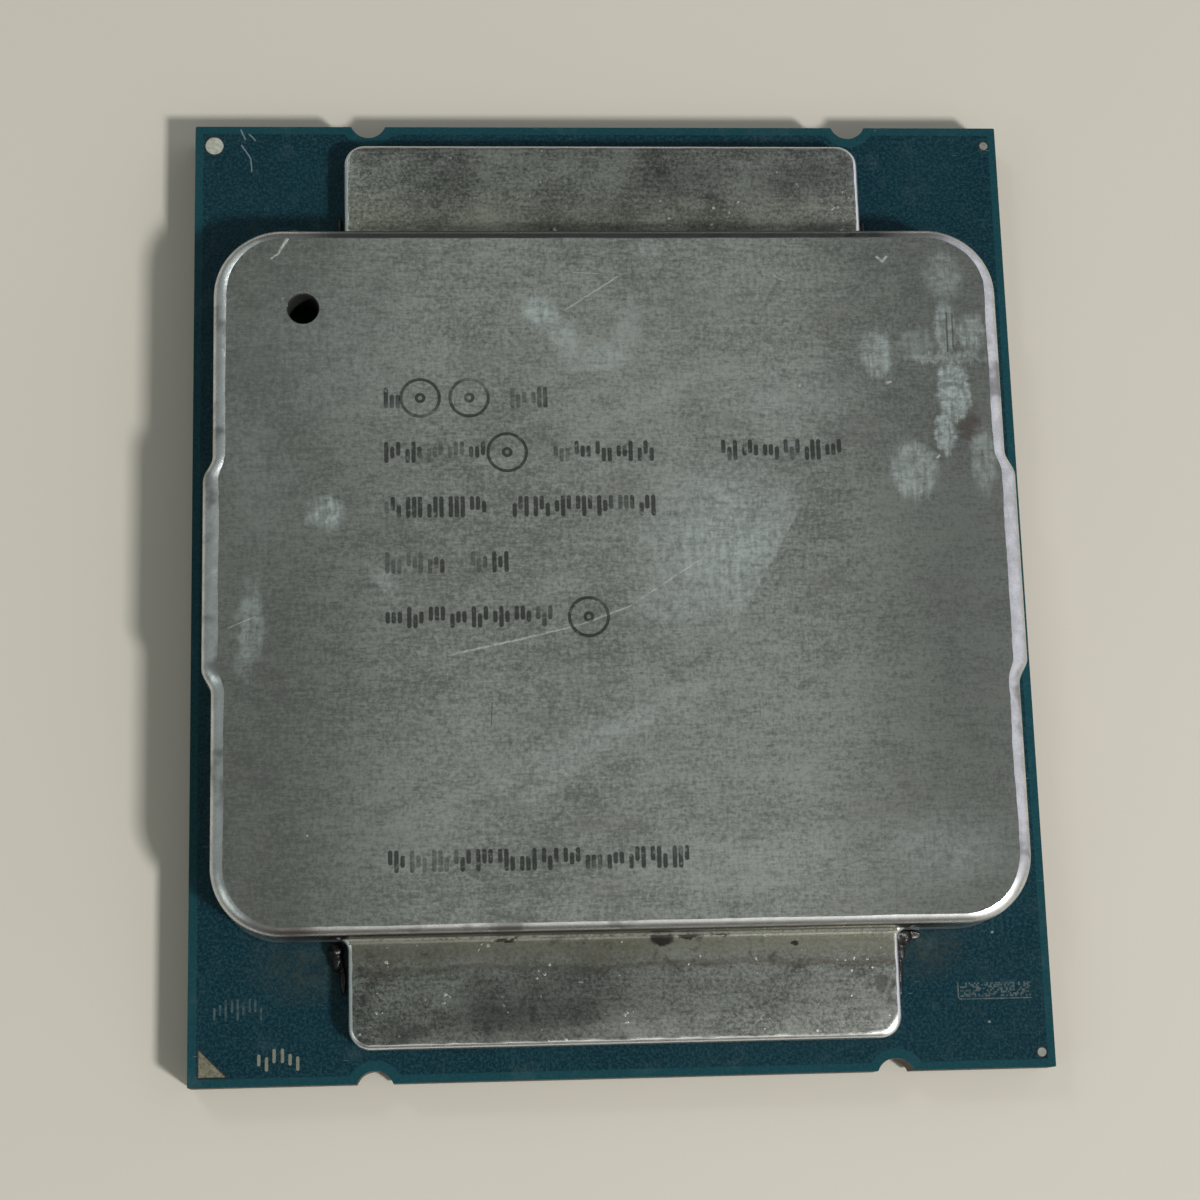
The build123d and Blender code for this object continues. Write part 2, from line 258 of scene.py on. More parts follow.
class NodeSteps:
    """A node tree built in small steps: each adds a node and returns what comes out of it."""

    def __init__(self, tree):
        self.tree = tree

    def feed(self, socket, value):
        """Links a socket, or sets its plain value."""
        if isinstance(value, bpy.types.NodeSocket):
            self.tree.links.new(value, socket)
        elif socket.type == "RGBA":
            socket.default_value = (*value, 1.0)
        else:
            socket.default_value = value

    def add(self, kind, inputs, **settings):
        """A new node with these settings and inputs. Returns its outputs."""
        node = self.tree.nodes.new(kind)
        for key, value in settings.items():
            setattr(node, key, value)
        for key, value in inputs.items():
            self.feed(node.inputs[key], value)
        return node.outputs

    def math(self, operation, first, second=0.0, clamp=False):
        return self.add("ShaderNodeMath", {0: first, 1: second}, operation=operation, use_clamp=clamp)[0]

    def times(self, *factors):
        """Product of sockets and numbers."""
        product = factors[0]
        for factor in factors[1:]:
            product = self.math("MULTIPLY", product, factor)
        return product

    def vector(self, operation, first, second=None, scale=None):
        given = {0: first, 1: second, "Scale": scale}
        inputs = {key: value for key, value in given.items() if value is not None}
        outputs = self.add("ShaderNodeVectorMath", inputs, operation=operation)
        return outputs["Value"] if operation in ("LENGTH", "DOT_PRODUCT") else outputs[0]

    def split(self, place):
        return self.add("ShaderNodeSeparateXYZ", {0: place})

    def ramp(self, value, low, high, start=0.0, end=1.0, curve="SMOOTHSTEP"):
        """Smooth step from start at low to end at high."""
        inputs = {"Value": value, "From Min": low, "From Max": high, "To Min": start, "To Max": end}
        return self.add("ShaderNodeMapRange", inputs, interpolation_type=curve)["Result"]

    def mix(self, share, first, second, kind="MIX"):
        """Mixes two colours."""
        inputs = {0: share, 6: first, 7: second}
        return self.add("ShaderNodeMix", inputs, data_type="RGBA", blend_type=kind)[2]

    def blend(self, share, first, second):
        """Mixes two numbers."""
        return self.add("ShaderNodeMix", {0: share, 2: first, 3: second}, data_type="FLOAT")[0]


class Shader(NodeSteps):
    """One Principled material, whose colour is laid on in coats. Places are in millimetres."""

    def __init__(self, name):
        self.material = bpy.data.materials.new(name)
        self.material.use_nodes = True
        super().__init__(self.material.node_tree)
        self.place = self.vector("SCALE", self.add("ShaderNodeTexCoord", {})["Object"], scale=1 / MM)
        self.colour = None

    def axes(self):
        return self.split(self.place)

    def coat(self, tone, *share):
        """Lays a tone over the colour so far, by the product of the shares."""
        self.colour = self.mix(self.times(*share), self.colour, tone)

    def stretched(self, stretch, turn_deg=0.0):
        """Places turned about Z and then scaled, so that a noise read there runs in streaks."""
        inputs = {"Vector": self.place, "Rotation": (0.0, 0.0, math.radians(turn_deg)), "Scale": stretch}
        return self.add("ShaderNodeMapping", inputs)["Vector"]

    def noise(self, scale, detail=2.0, roughness=0.5, place=None, output="Fac"):
        inputs = {"Vector": place or self.place, "Scale": scale, "Detail": detail, "Roughness": roughness}
        return self.add("ShaderNodeTexNoise", inputs)[output]

    def streaks(self, stretch, turn_deg=0.0, detail=2.0, roughness=0.5, scale=1.0):
        return self.noise(scale, detail, roughness, self.stretched(stretch, turn_deg))

    def cells(self, scale, place=None, output="Distance"):
        """Random cells: the distance from the nearest centre, or each cell's own colour."""
        return self.add("ShaderNodeTexVoronoi", {"Vector": place or self.place, "Scale": scale})[output]

    def layered(self, layers):
        """0.5 plus each layer's swing about 0.5, times its weight."""
        total = 0.5
        for layer, weight in layers:
            total = self.math("ADD", total, self.times(self.math("SUBTRACT", layer, 0.5), weight))
        return total

    def warped(self, reach, scale):
        """Places pushed about by noise, which makes the edge of a shape irregular."""
        field = self.noise(scale, detail=3.0, output="Color")
        centred = self.vector("SUBTRACT", field, (0.5, 0.5, 0.5))
        return self.vector("ADD", self.place, self.vector("SCALE", centred, scale=2 * reach))

    def torn(self, across, along):
        """Places pushed in steps across and in streaks along Y, which gives a shape wiped edges."""
        steps = self.streaks((0.9, 2.4, 1.0), 0, 4.0, 0.75)
        streaks = self.streaks((4.2, 0.5, 1.0), 0, 4.0, 0.75)
        push = {}
        for axis, (field, reach) in enumerate(((steps, across), (streaks, along))):
            push[axis] = self.times(self.math("SUBTRACT", field, 0.5), 2 * reach)
        return self.vector("ADD", self.place, self.add("ShaderNodeCombineXYZ", push)[0])

    def ellipse(self, place, x, y, half_x, half_y, turn_deg, edge):
        """1 inside an ellipse in plan, falling to 0 across edge, a share of its radius."""
        turn = (0.0, 0.0, math.radians(turn_deg))
        inputs = {"Vector": place, "Location": (x, y, 0), "Rotation": turn, "Scale": (half_x, half_y, 1)}
        local = self.add("ShaderNodeMapping", inputs, vector_type="TEXTURE")["Vector"]
        radius = self.vector("LENGTH", self.vector("MULTIPLY", local, IN_PLAN))
        return self.ramp(radius, 1.0 + edge, 1.0 - edge)

    def stroke(self, place, start, end, half_width):
        """1 along a straight scratch in plan, 0 away from it."""
        run = Vector((end[0] - start[0], end[1] - start[1], 0.0))
        flat = self.vector("MULTIPLY", place, IN_PLAN)
        offset = self.vector("SUBTRACT", flat, (*start, 0.0))
        reach = self.vector("DOT_PRODUCT", offset, run)
        along = self.math("DIVIDE", reach, run.length_squared, clamp=True)
        nearest = self.vector("SCALE", run, scale=along)
        distance = self.vector("LENGTH", self.vector("SUBTRACT", offset, nearest))
        return self.ramp(distance, half_width, 0.0)

    def patches(self, place, spots):
        """A mask for each spot: an ellipse's values, then its strength."""
        return [self.times(self.ellipse(place, *shape), strength) for *shape, strength in spots]

    def strokes(self, place, lines):
        """A mask for each line: start, end, half width, strength."""
        return [self.times(self.stroke(place, *shape), strength) for *shape, strength in lines]

    def flecks(self, size, distance, edge):
        """1 nearer than size to a cell's centre, with a soft edge."""
        return self.ramp(self.math("SUBTRACT", size, distance), 0.0, edge)

    def strongest(self, masks):
        total = masks[0]
        for mask in masks[1:]:
            total = self.math("MAXIMUM", total, mask)
        return total

    def bump(self, height, depth, below=None):
        """Normal from a height of 0 to 1, depth millimetres deep."""
        inputs = {"Height": height, "Distance": depth * MM}
        if below is not None:
            inputs["Normal"] = below
        return self.add("ShaderNodeBump", inputs)["Normal"]

    def finish(self, **values):
        """Sets the surface's colour and inputs, named with _ for a space. Returns the material."""
        surface = self.tree.nodes["Principled BSDF"]
        for key, value in {"base_color": self.colour, **values}.items():
            self.feed(surface.inputs[key.replace("_", " ").title().replace("Ior", "IOR")], value)
        return self.material


# ---- nickel plate ----
# stains: x, y, half x, half y, turn in degrees, edge softness and, if the row goes on, strength
# residue wiped up and down near the lid's right side
WIPED_STAINS = (
    (18.3, 16.2, 1.0, 1.3, 0, 0.45, 0.6),
    (18.2, 13.3, 0.55, 1.6, 0, 0.25, 0.75),
    (19.6, 12.9, 0.8, 1.0, 0, 0.3, 0.8),
    (18.0, 11.5, 2.4, 0.32, 0, 0.35, 0.7),
    (18.5, 9.6, 0.9, 1.7, 0, 0.18, 1.0),
    (17.9, 7.3, 0.55, 1.2, 0, 0.2, 0.9),
    (14.4, 11.7, 0.85, 1.3, 0, 0.3, 0.85),
    (16.6, 12.4, 1.0, 0.7, 0, 0.5, 0.45),
    (16.1, 5.2, 1.25, 1.5, 0, 0.22, 0.75),
    (19.9, 5.8, 0.65, 1.8, 0, 0.35, 0.6),
)
# dried stains elsewhere
STAINS = (
    (-3.7, 14.2, 0.95, 0.8, -30, 0.4, 0.9),
    (-2.6, 12.9, 0.7, 1.5, 30, 0.45, 0.6),
    (-0.7, 11.6, 1.5, 0.7, 5, 0.4, 0.65),
    (0.9, 13.2, 0.6, 1.6, -15, 0.5, 0.55),
    (2.1, 17.6, 0.7, 0.6, 0, 0.5, 0.6),
    (-15.3, 3.1, 0.9, 0.85, 0, 0.4, 1.0),
    (-19.2, -3.0, 0.55, 2.6, -4, 0.5, 0.6),
    (-12.3, -0.5, 0.35, 1.1, 40, 0.5, 0.5),
    (-18.6, 5.2, 1.8, 4.2, 8, 0.8, 0.25),
    (-14.6, 12.0, 4.6, 4.4, 0, 0.9, 0.3),
    (-0.4, -8.6, 5.6, 0.9, 24, 0.7, 0.4),
    (-2.5, -10.2, 3.4, 0.7, 40, 0.7, 0.35),
    (3.4, -1.6, 2.4, 1.6, 20, 0.6, 0.5),
    (9.6, 9.4, 3.4, 2.2, 14, 0.8, 0.3),
    (2.6, 9.6, 3.0, 0.7, 28, 0.6, 0.3),
    (16.6, -15.2, 3.2, 1.6, 0, 0.9, 0.35),
    (6.5, -15.6, 4.5, 1.4, 4, 0.9, 0.25),
)
# the broad light area right of the middle ends at a straight wiped edge
WIPE_AREA = (6.0, 1.2, 4.0, 3.6, -20, 0.8)
WIPE_STRENGTH = 0.8
WIPE_EDGE = ((9.84, 3.04), (6.39, -2.9))
# scratches: start, end, half width, strength
SCRATCHES = (
    ((-8.84, -4.57), (-5.0, -3.75), 0.095, 0.95),
    ((-5.0, -3.75), (-2.0, -3.05), 0.08, 0.8),
    ((-2.0, -3.05), (0.6, -2.1), 0.075, 0.7),
    ((0.6, -2.1), (4.61, 0.52), 0.055, 0.55),
    ((-2.4, 14.28), (0.46, 16.15), 0.08, 0.8),
    ((-1.9, 16.4), (-0.6, 16.35), 0.055, 0.6),
    ((1.0, -4.3), (4.0, -3.5), 0.03, 0.25),
    ((-17.75, 17.5), (-17.25, 18.35), 0.13, 1.0),
    ((-18.1, 17.25), (-17.75, 17.5), 0.09, 0.9),
    ((9.0, 16.2), (9.6, 15.9), 0.045, 0.8),
    ((-20.3, -3.0), (-18.9, -2.4), 0.035, 0.5),
    ((14.7, 17.27), (14.98, 17.0), 0.12, 1.0),
    ((14.98, 17.0), (15.23, 17.27), 0.12, 1.0),
    ((14.85, 10.08), (15.1, 10.15), 0.11, 1.0),
    ((17.4, 5.88), (17.52, 6.0), 0.1, 1.0),
    ((9.5, -9.0), (13.4, -11.4), 0.025, 0.25),
)
DARK_TICKS = (
    ((-6.72, -7.1), (-6.76, -8.3), 0.055, 0.8),
    ((7.26, -7.2), (7.24, -8.0), 0.045, 0.6),
    ((18.34, 14.06), (18.3, 11.86), 0.09, 0.9),
    ((18.65, 13.9), (18.62, 12.01), 0.08, 0.8),
)
NICKEL_DARK = (0.265, 0.282, 0.256)
NICKEL_LIGHT = (0.655, 0.69, 0.64)
NICKEL_WARM = (0.44, 0.425, 0.395)
NICKEL_SHADE = (0.15, 0.16, 0.145)
SIDE_SHADE_FROM, SIDE_SHADE_TO = 8.0, 19.0      # painted shade: the lid's top is painted darker between these distances from the middle
BROWN_SPOT = (19.3, 7.6, 0.65, 0.75, 0, 0.35)
BROWN_TONE = (0.15, 0.115, 0.105)
RESIDUE = (0.64, 0.74, 0.72)
SCRATCH_TONE = (0.95, 0.96, 0.92)
TICK_TONE = (0.12, 0.13, 0.12)
MARK_TONE = (0.045, 0.05, 0.047)


def lid_grain(s):
    """Brushed and mottled plate, as one number between 0 and 1."""
    layers = (
        (s.noise(4.2, 4.0, 0.8), 1.35),
        (s.streaks((1.5, 8.0, 1.0), 5, 4.0, 0.75), 0.75),
        (s.streaks((0.45, 2.6, 1.0), -30, 3.0, 0.65), 0.4),
        (s.streaks((6.5, 1.8, 1.0), -6, 2.0, 0.5), 0.3),
        (s.noise(0.6, 4.0, 0.7), 0.45),
        (s.noise(0.12, 3.0, 0.55), 0.6),
    )
    return s.ramp(s.layered(layers), 0.18, 0.84)


def lid_stains(s):
    """Dried residue on the lid's top, 0 to 1."""
    loose = s.warped(0.75, 1.1)
    masks = s.patches(loose, STAINS[::2]) + s.patches(s.warped(0.6, 2.2), STAINS[1::2])
    masks += s.patches(s.torn(0.45, 0.8), WIPED_STAINS)
    (x0, y0), (x1, y1) = WIPE_EDGE
    inward = Vector((y1 - y0, x0 - x1, 0.0)).normalized()
    offset = s.vector("SUBTRACT", s.warped(0.12, 1.2), (x0, y0, 0.0))
    kept = s.ramp(s.vector("DOT_PRODUCT", offset, tuple(inward)), -0.06, 0.1)
    masks.append(s.times(s.ellipse(loose, *WIPE_AREA), kept, WIPE_STRENGTH))
    speckle = s.ramp(s.noise(2.6, 4.0, 0.75), 0.34, 0.6, 0.35, 1.0)
    across = s.ramp(s.streaks((0.7, 5.0, 1.0), 3, 3.0, 0.65), 0.34, 0.54, 0.6, 1.0)
    down = s.ramp(s.streaks((4.5, 0.6, 1.0), 2, 3.0, 0.65), 0.36, 0.54, 0.5, 1.0)
    return s.times(s.strongest(masks), s.times(speckle, s.times(across, down)))


def lid_scratches(s, shaky):
    """Bright scratches and flecks on the lid's top, 0 to 1."""
    gaps = s.ramp(s.noise(2.6, 3.0, 0.7), 0.36, 0.54, 0.4, 1.0)
    lines = s.times(s.strongest(s.strokes(shaky, SCRATCHES)), gaps)
    size = s.ramp(s.noise(0.9, 1.0), 0.48, 0.75, 0.0, 0.06)
    return s.math("MAXIMUM", lines, s.times(s.flecks(size, s.cells(0.55), 0.02), 0.7))


def lid_ink(s):
    """How much of the marking is left, 0 to 1: patchy, and thinner in some areas."""
    worn = s.ramp(s.noise(1.9, 4.0, 0.75), 0.3, 0.46, 0.25, 1.0)
    broad = s.ramp(s.noise(0.3, 1.0), 0.34, 0.46, 0.55, 1.0)
    return s.times(worn, broad, 0.88)


def nickel_top(name, marked=False):
    """Lapped top of the lid: brushed grain, broad clouds, residue stains, scratches and flecks."""
    s = Shader(name)
    x, _, _ = s.axes()
    tone = lid_grain(s)
    s.colour = s.mix(tone, NICKEL_DARK, NICKEL_LIGHT)
    s.coat(NICKEL_WARM, s.ramp(s.streaks((1.0, 2.2, 1.0), 20, 3.0, 0.6, 0.2), 0.52, 0.68, 0.0, 0.22))
    # painted shade: the top is painted darker towards its left and right sides
    s.coat(NICKEL_SHADE, s.ramp(s.math("ABSOLUTE", x), SIDE_SHADE_FROM, SIDE_SHADE_TO, 0.0, 0.58))
    s.coat(BROWN_TONE, s.ellipse(s.warped(0.45, 1.6), *BROWN_SPOT), 0.6)
    stain = lid_stains(s)
    s.coat(RESIDUE, stain, 0.8)
    shaky = s.warped(0.05, 3.0)
    bright = lid_scratches(s, shaky)
    s.coat(SCRATCH_TONE, bright)
    pits = s.ramp(s.cells(0.8, place=s.stretched((1.0, 1.0, 1.0), 31)), 0.035, 0.02)
    ticks = s.strongest(s.strokes(shaky, DARK_TICKS))
    s.coat(TICK_TONE, s.math("MAXIMUM", ticks, s.times(pits, 0.6)))
    metallic = s.blend(stain, 0.84, 0.74)
    if marked:
        ink = lid_ink(s)
        s.coat(MARK_TONE, ink)
        metallic = s.blend(ink, metallic, 0.7)
    roughness = s.blend(stain, s.blend(tone, 0.33, 0.29), 0.42)
    normal = s.bump(s.math("SUBTRACT", 1.0, bright), 0.008, s.bump(tone, 0.004))
    return s.finish(metallic=metallic, roughness=roughness, normal=normal)


RIM_TONES = (0.5, 0.51, 0.5), (0.76, 0.76, 0.76)
RIM_EDGE_TONE = (0.86, 0.87, 0.87)
RIM_SOIL_AND_SHADE = (0.105, 0.095, 0.078)
RIM_BACK_SHADE = (0.115, 0.135, 0.135)
RIM_BROWN_REFLECTION = (-17.3, -18.2, 1.5, 0.8, -24, 0.6)       # a painted brown reflection on the front left corner of the rim
RIM_REFLECTION_TONE = (0.085, 0.055, 0.048)


def nickel_rim():
    """Rolled rim and walls: brighter and smoother, with rubbed patches, soil, painted shade on the walls
    beside the ears and on the back rim, a painted brown reflection on the front left corner, and small
    dents.
    """
    s = Shader("nickel_rim")
    x, y, z = s.axes()
    from_middle = s.math("ABSOLUTE", x)
    fine = s.noise(7.0, 3.0, 0.6)
    rub = s.noise(1.1, 4.0, 0.65)
    tone = s.ramp(s.math("ADD", s.times(fine, 0.35), s.times(rub, 0.65)), 0.3, 0.7)
    s.colour = s.mix(tone, *RIM_TONES)
    # random soil on the rim and walls, and painted shade on the wall between the rim and an ear; the ear's
    # own rounded edge is painted a lighter tone and kept clear of both
    under_rim = s.ramp(z, LID_TOP - 0.12, LID_TOP - 0.42)
    above_ear = s.ramp(z, EAR_TOP + 0.02, EAR_TOP + 0.12)
    ear_edge = s.ramp(z, EAR_TOP + 0.12, EAR_TOP + 0.02)
    # painted shade: the wall under the rim beside each ear is painted dark
    wall = s.times(s.ramp(from_middle, 18.5, 15.0), under_rim, above_ear)
    soil_and_shade = s.math("MAXIMUM", s.ramp(s.noise(0.35, 3.0, 0.6), 0.54, 0.68, 0.0, 0.6), s.times(wall, 0.94))
    # the ears' rounded edges are painted a lighter tone
    s.coat(RIM_EDGE_TONE, ear_edge, 0.6)
    s.coat(RIM_SOIL_AND_SHADE, soil_and_shade, s.math("SUBTRACT", 1.0, ear_edge))
    # painted shade: the back rim near the middle is painted a dark blue-grey
    painted_back_shade = s.times(s.ramp(y, LID_HALF.y - 1.0, LID_HALF.y - 0.5), above_ear)
    s.coat(RIM_BACK_SHADE, painted_back_shade, s.ramp(from_middle, 17.0, 14.5), 0.8)
    # painted reflection: a brown patch on the rim's front left corner
    s.coat(RIM_REFLECTION_TONE, s.ellipse(s.warped(0.4, 0.9), *RIM_BROWN_REFLECTION), 0.75)
    dents = s.ramp(s.cells(1.3), 0.16, 0.02)
    normal = s.bump(s.math("SUBTRACT", 1.0, dents), 0.004, s.bump(fine, 0.004))
    return s.finish(metallic=1.0, roughness=s.blend(tone, 0.36, 0.24), normal=normal)


EAR_TONES = (0.072, 0.078, 0.07), (0.345, 0.366, 0.328)
EAR_ROOT_TONE = (0.245, 0.24, 0.175)
EAR_OLIVE = (0.115, 0.123, 0.095), (0.36, 0.38, 0.315)
EAR_TIDE = (0.12, 0.1, 0.08)
EAR_FLECK = (0.72, 0.73, 0.68)
EAR_STAIN = (0.036, 0.039, 0.036)
EAR_PATCH_TONE = (0.045, 0.05, 0.046)
EAR_BLACK = (0.016, 0.015, 0.012)
EAR_ROOT_HIGHLIGHT = (0.7, 0.71, 0.66)
# black dirt along the front ear's root, then soft darker patches on both ears; rows as in STAINS
EAR_DIRT = (
    (1.9, -19.3, 0.62, 0.34, 0, 0.3, 0.9),
    (3.3, -19.15, 0.55, 0.14, 0, 0.3, 0.9),
    (4.9, -19.12, 0.5, 0.09, 0, 0.3, 0.9),
    (8.8, -19.7, 0.16, 0.12, 0, 0.3, 0.9),
    (-6.2, -19.2, 0.6, 0.12, 0, 0.3, 0.9),
)
EAR_DARK_PATCHES = (
    (-4.8, -22.9, 4.2, 1.9, 6, 0.9, 0.62),
    (-6.5, -23.1, 1.7, 1.1, 6, 0.9, 0.75),
    (-11.3, -24.0, 1.2, 0.5, 6, 0.9, 0.8),
    (-9.6, 22.6, 2.4, 1.3, 6, 0.9, 0.26),
    (4.4, 22.7, 2.2, 0.9, 6, 0.9, 0.4),
    (10.9, 22.7, 2.8, 1.1, 6, 0.9, 0.5),
    (11.8, 19.4, 2.6, 0.5, 6, 0.9, 0.55),
)


def nickel_ear():
    """Unlapped steps at each end: granular, speckled, olive near the root with a faint tide line, and a
    painted highlight along the root fillet.
    """
    s = Shader("nickel_ear")
    _, y, z = s.axes()
    grains = s.noise(5.0, 5.0, 0.85)
    patches = s.noise(0.28, 4.0, 0.6)
    streaks = s.streaks((0.8, 6.0, 1.0), 3, 3.0, 0.6)
    tone = s.ramp(s.layered(((grains, 1.9), (patches, 1.0), (streaks, 0.5))), 0.15, 0.88)
    s.colour = s.mix(tone, *EAR_TONES)
    front_y = s.times(y, -1.0)
    from_root = s.math("ADD", front_y, s.times(patches, 1.2))
    root = s.times(s.ramp(from_root, 21.5, 20.2), s.ramp(front_y, 0.0, 1.0))
    s.coat(EAR_ROOT_TONE, root, 0.55)
    back_root = s.math("SUBTRACT", s.ramp(front_y, -22.6, -20.4), s.ramp(front_y, -1.0, 0.0))
    s.coat(s.mix(tone, *EAR_OLIVE), s.math("MULTIPLY", back_root, 0.75, clamp=True))
    tide = s.times(s.ramp(from_root, 21.0, 21.2), s.ramp(from_root, 21.5, 21.3))
    s.coat(EAR_TIDE, tide, 0.45)
    size = s.ramp(s.noise(0.8, 2.0), 0.46, 0.7, 0.0, 0.23)
    flecks = s.flecks(size, s.cells(2.3, place=s.warped(0.16, 4.0)), 0.06)
    s.coat(EAR_FLECK, flecks, 0.65)
    s.coat(EAR_STAIN, s.ramp(s.noise(0.75, 3.0, 0.7), 0.56, 0.72, 0.0, 0.6))
    s.coat(EAR_PATCH_TONE, s.strongest(s.patches(s.warped(1.2, 0.5), EAR_DARK_PATCHES)), 0.85)
    s.coat(EAR_BLACK, s.strongest(s.patches(s.warped(0.3, 2.4), EAR_DIRT)))
    # painted highlight: a broken light line along the foot of the root fillet
    root_highlight = s.times(s.ramp(z, EAR_TOP + 0.03, EAR_TOP + 0.1), s.ramp(grains, 0.4, 0.5))
    s.coat(EAR_ROOT_HIGHLIGHT, root_highlight, 0.7)
    normal = s.bump(s.math("ADD", grains, s.times(flecks, 0.6)), 0.01)
    return s.finish(metallic=0.7, roughness=s.blend(tone, 0.38, 0.31), normal=normal)


def two_tone(name, tones, noise_shape, depth, fade=None, **values):
    """A plain material whose colour and fine relief follow one noise."""
    s = Shader(name)
    field = s.noise(*noise_shape)
    s.colour = s.mix(s.ramp(field, *fade) if fade else field, *tones)
    return s.finish(normal=s.bump(field, depth), **values)


INSIDE_TONES = (0.012, 0.012, 0.011), (0.045, 0.045, 0.042)


def nickel_inside():
    """Cavity and vent wall: dull plate in a near-black tone."""
    return two_tone("nickel_inside", INSIDE_TONES, (3.0, 3.0), 0.006, metallic=0.5, roughness=0.6)


# ---- other materials ----
COPPER_SETBACK = 0.42
NOTCH_HALO = 0.5
BARE_EDGE = (0.05, -0.03)           # the bare border fades from this far inside to this far outside
MASK_TONES = (0.0012, 0.018, 0.029), (0.0028, 0.023, 0.034)
MASK_BARE = (0.0045, 0.047, 0.058)
MASK_MOTTLE = (0.017, 0.056, 0.069)
MASK_DUST = (0.3, 0.38, 0.38)
HAZE_TONE = (0.04, 0.05, 0.042)
BOARD_SCRATCHES = (
    ((-20.0, 26.05), (-19.75, 25.5), 0.06, 0.55),
    ((-19.95, 25.15), (-19.45, 24.35), 0.06, 0.55),
    ((-19.45, 24.35), (-19.4, 23.6), 0.06, 0.55),
    ((-19.55, 25.8), (-19.2, 25.45), 0.06, 0.55),
    ((14.2, 19.9), (14.5, 19.6), 0.06, 0.55),
)
# dull residue on the board by the ears' inner corners; rows as in STAINS
BOARD_HAZE = (
    (-16.6, -20.3, 2.2, 1.3, 0, 0.9, 1.0),
    (16.0, -20.2, 1.5, 1.0, 0, 0.9, 1.0),
)


def bare_border(s):
    """1 where no copper lies under the coating: along the board's edge and round its notches."""
    x, y, _ = s.axes()
    inset_x = s.math("SUBTRACT", SUBSTRATE_HALF.x, s.math("ABSOLUTE", x))
    inset_y = s.math("SUBTRACT", SUBSTRATE_HALF.y, s.math("ABSOLUTE", y))
    masks = [s.ramp(s.math("MINIMUM", inset_x, inset_y), *(COPPER_SETBACK + fade for fade in BARE_EDGE))]
    flat = s.vector("MULTIPLY", s.place, IN_PLAN)
    for notch_x, notch_y in NOTCHES:
        distance = s.vector("LENGTH", s.vector("SUBTRACT", flat, (notch_x, notch_y, 0.0)))
        masks.append(s.ramp(distance, *(NOTCH_R + NOTCH_HALO + fade for fade in BARE_EDGE)))
    return s.strongest(masks)


def solder_mask(name, top):
    """Dark blue coating, lighter where no copper lies under it, dusted and lightly scratched."""
    s = Shader(name)
    bare = bare_border(s)
    cloud = s.noise(0.22, 3.0, 0.55)
    fine = s.noise(6.0, 3.0, 0.6)
    s.colour = s.mix(s.ramp(cloud, 0.35, 0.65), *MASK_TONES)
    s.coat(MASK_BARE, bare)
    s.coat(MASK_MOTTLE, s.ramp(s.noise(6.2, 4.0, 0.85), 0.45, 0.6, 0.0, 0.8))
    size = s.ramp(s.noise(0.5, 3.0, 0.7), 0.46, 0.74, 0.0, 0.11)
    dust = s.times(s.flecks(size, s.cells(0.9), 0.04), 0.55)
    fibres = s.ramp(s.streaks((0.5, 9.0, 1.0), 63, 2.0), 0.735, 0.775, 0.0, 0.35)
    film = s.ramp(s.noise(0.6, 4.0, 0.7), 0.52, 0.8, 0.0, 0.05)
    marks = [dust, fibres, film]
    if top:
        haze = s.strongest(s.patches(s.warped(0.8, 0.6), BOARD_HAZE))
        s.coat(HAZE_TONE, haze, s.ramp(s.noise(2.2, 5.0, 0.8), 0.4, 0.66, 0.15, 0.75))
        marks += s.strokes(s.warped(0.05, 3.0), BOARD_SCRATCHES)
    s.coat(MASK_DUST, s.strongest(marks))
    normal = s.bump(s.math("ADD", fine, s.times(cloud, 2.0)), 0.003, s.bump(bare, 0.012))
    return s.finish(roughness=s.blend(fine, 0.24, 0.32), normal=normal, specular_ior_level=0.22)


AMBER = (0.2, 0.13, 0.02)


def laminate(name, low, high):
    """Cut edge of the board: resin with layers of glass cloth along it."""
    s = Shader(name)
    layers = s.streaks((0.25, 0.25, 9.0), 0, 3.0, 0.6)
    threads = s.streaks((1.0, 1.0, 4.0), 0, 3.0, 0.7, 3.2)
    tone = s.ramp(s.math("ADD", s.times(layers, 0.6), s.times(threads, 0.5)), 0.35, 0.75)
    s.colour = s.mix(tone, low, high)
    s.coat(AMBER, s.ramp(s.noise(1.3, 2.0, 0.6), 0.6, 0.72, 0.0, 0.8))
    return s.finish(roughness=0.62, normal=s.bump(tone, 0.02))


def metal(name, low, high, roughness, scale, depth):
    """A soft metal with a mottled tone: copper, gold, solder or tin."""
    s = Shader(name)
    mottle = s.noise(scale, 4.0, 0.65)
    broad = s.noise(scale * 0.12, 2.0)
    tone = s.ramp(s.math("ADD", s.times(mottle, 0.6), s.times(broad, 0.4)), 0.3, 0.7)
    s.colour = s.mix(tone, low, high)
    rough = s.blend(tone, roughness + 0.12, roughness - 0.04)
    return s.finish(metallic=1.0, roughness=rough, normal=s.bump(mottle, depth))


LAND_TONES = (0.66, 0.47, 0.2), (0.83, 0.62, 0.3)
LAND_RUB = (0.92, 0.8, 0.55)


def land_gold():
    """Contact gold: each land its own shade, with a small rub where a sprung contact has slid."""
    s = Shader("land_gold")
    shade = s.add("ShaderNodeSeparateColor", {0: s.cells(0.95, output="Color")})[0]
    s.colour = s.mix(shade, *LAND_TONES)
    rub = s.streaks((3.0, 0.7, 1.0), 35, 3.0, 0.6, 4.0)
    scuff = s.ramp(rub, 0.58, 0.7)
    s.coat(LAND_RUB, scuff, 0.7)
    return s.finish(metallic=1.0, roughness=s.blend(scuff, 0.34, 0.22), normal=s.bump(rub, 0.004))


PAD_PAINTED_SHADE = (0.1, 0.105, 0.1)


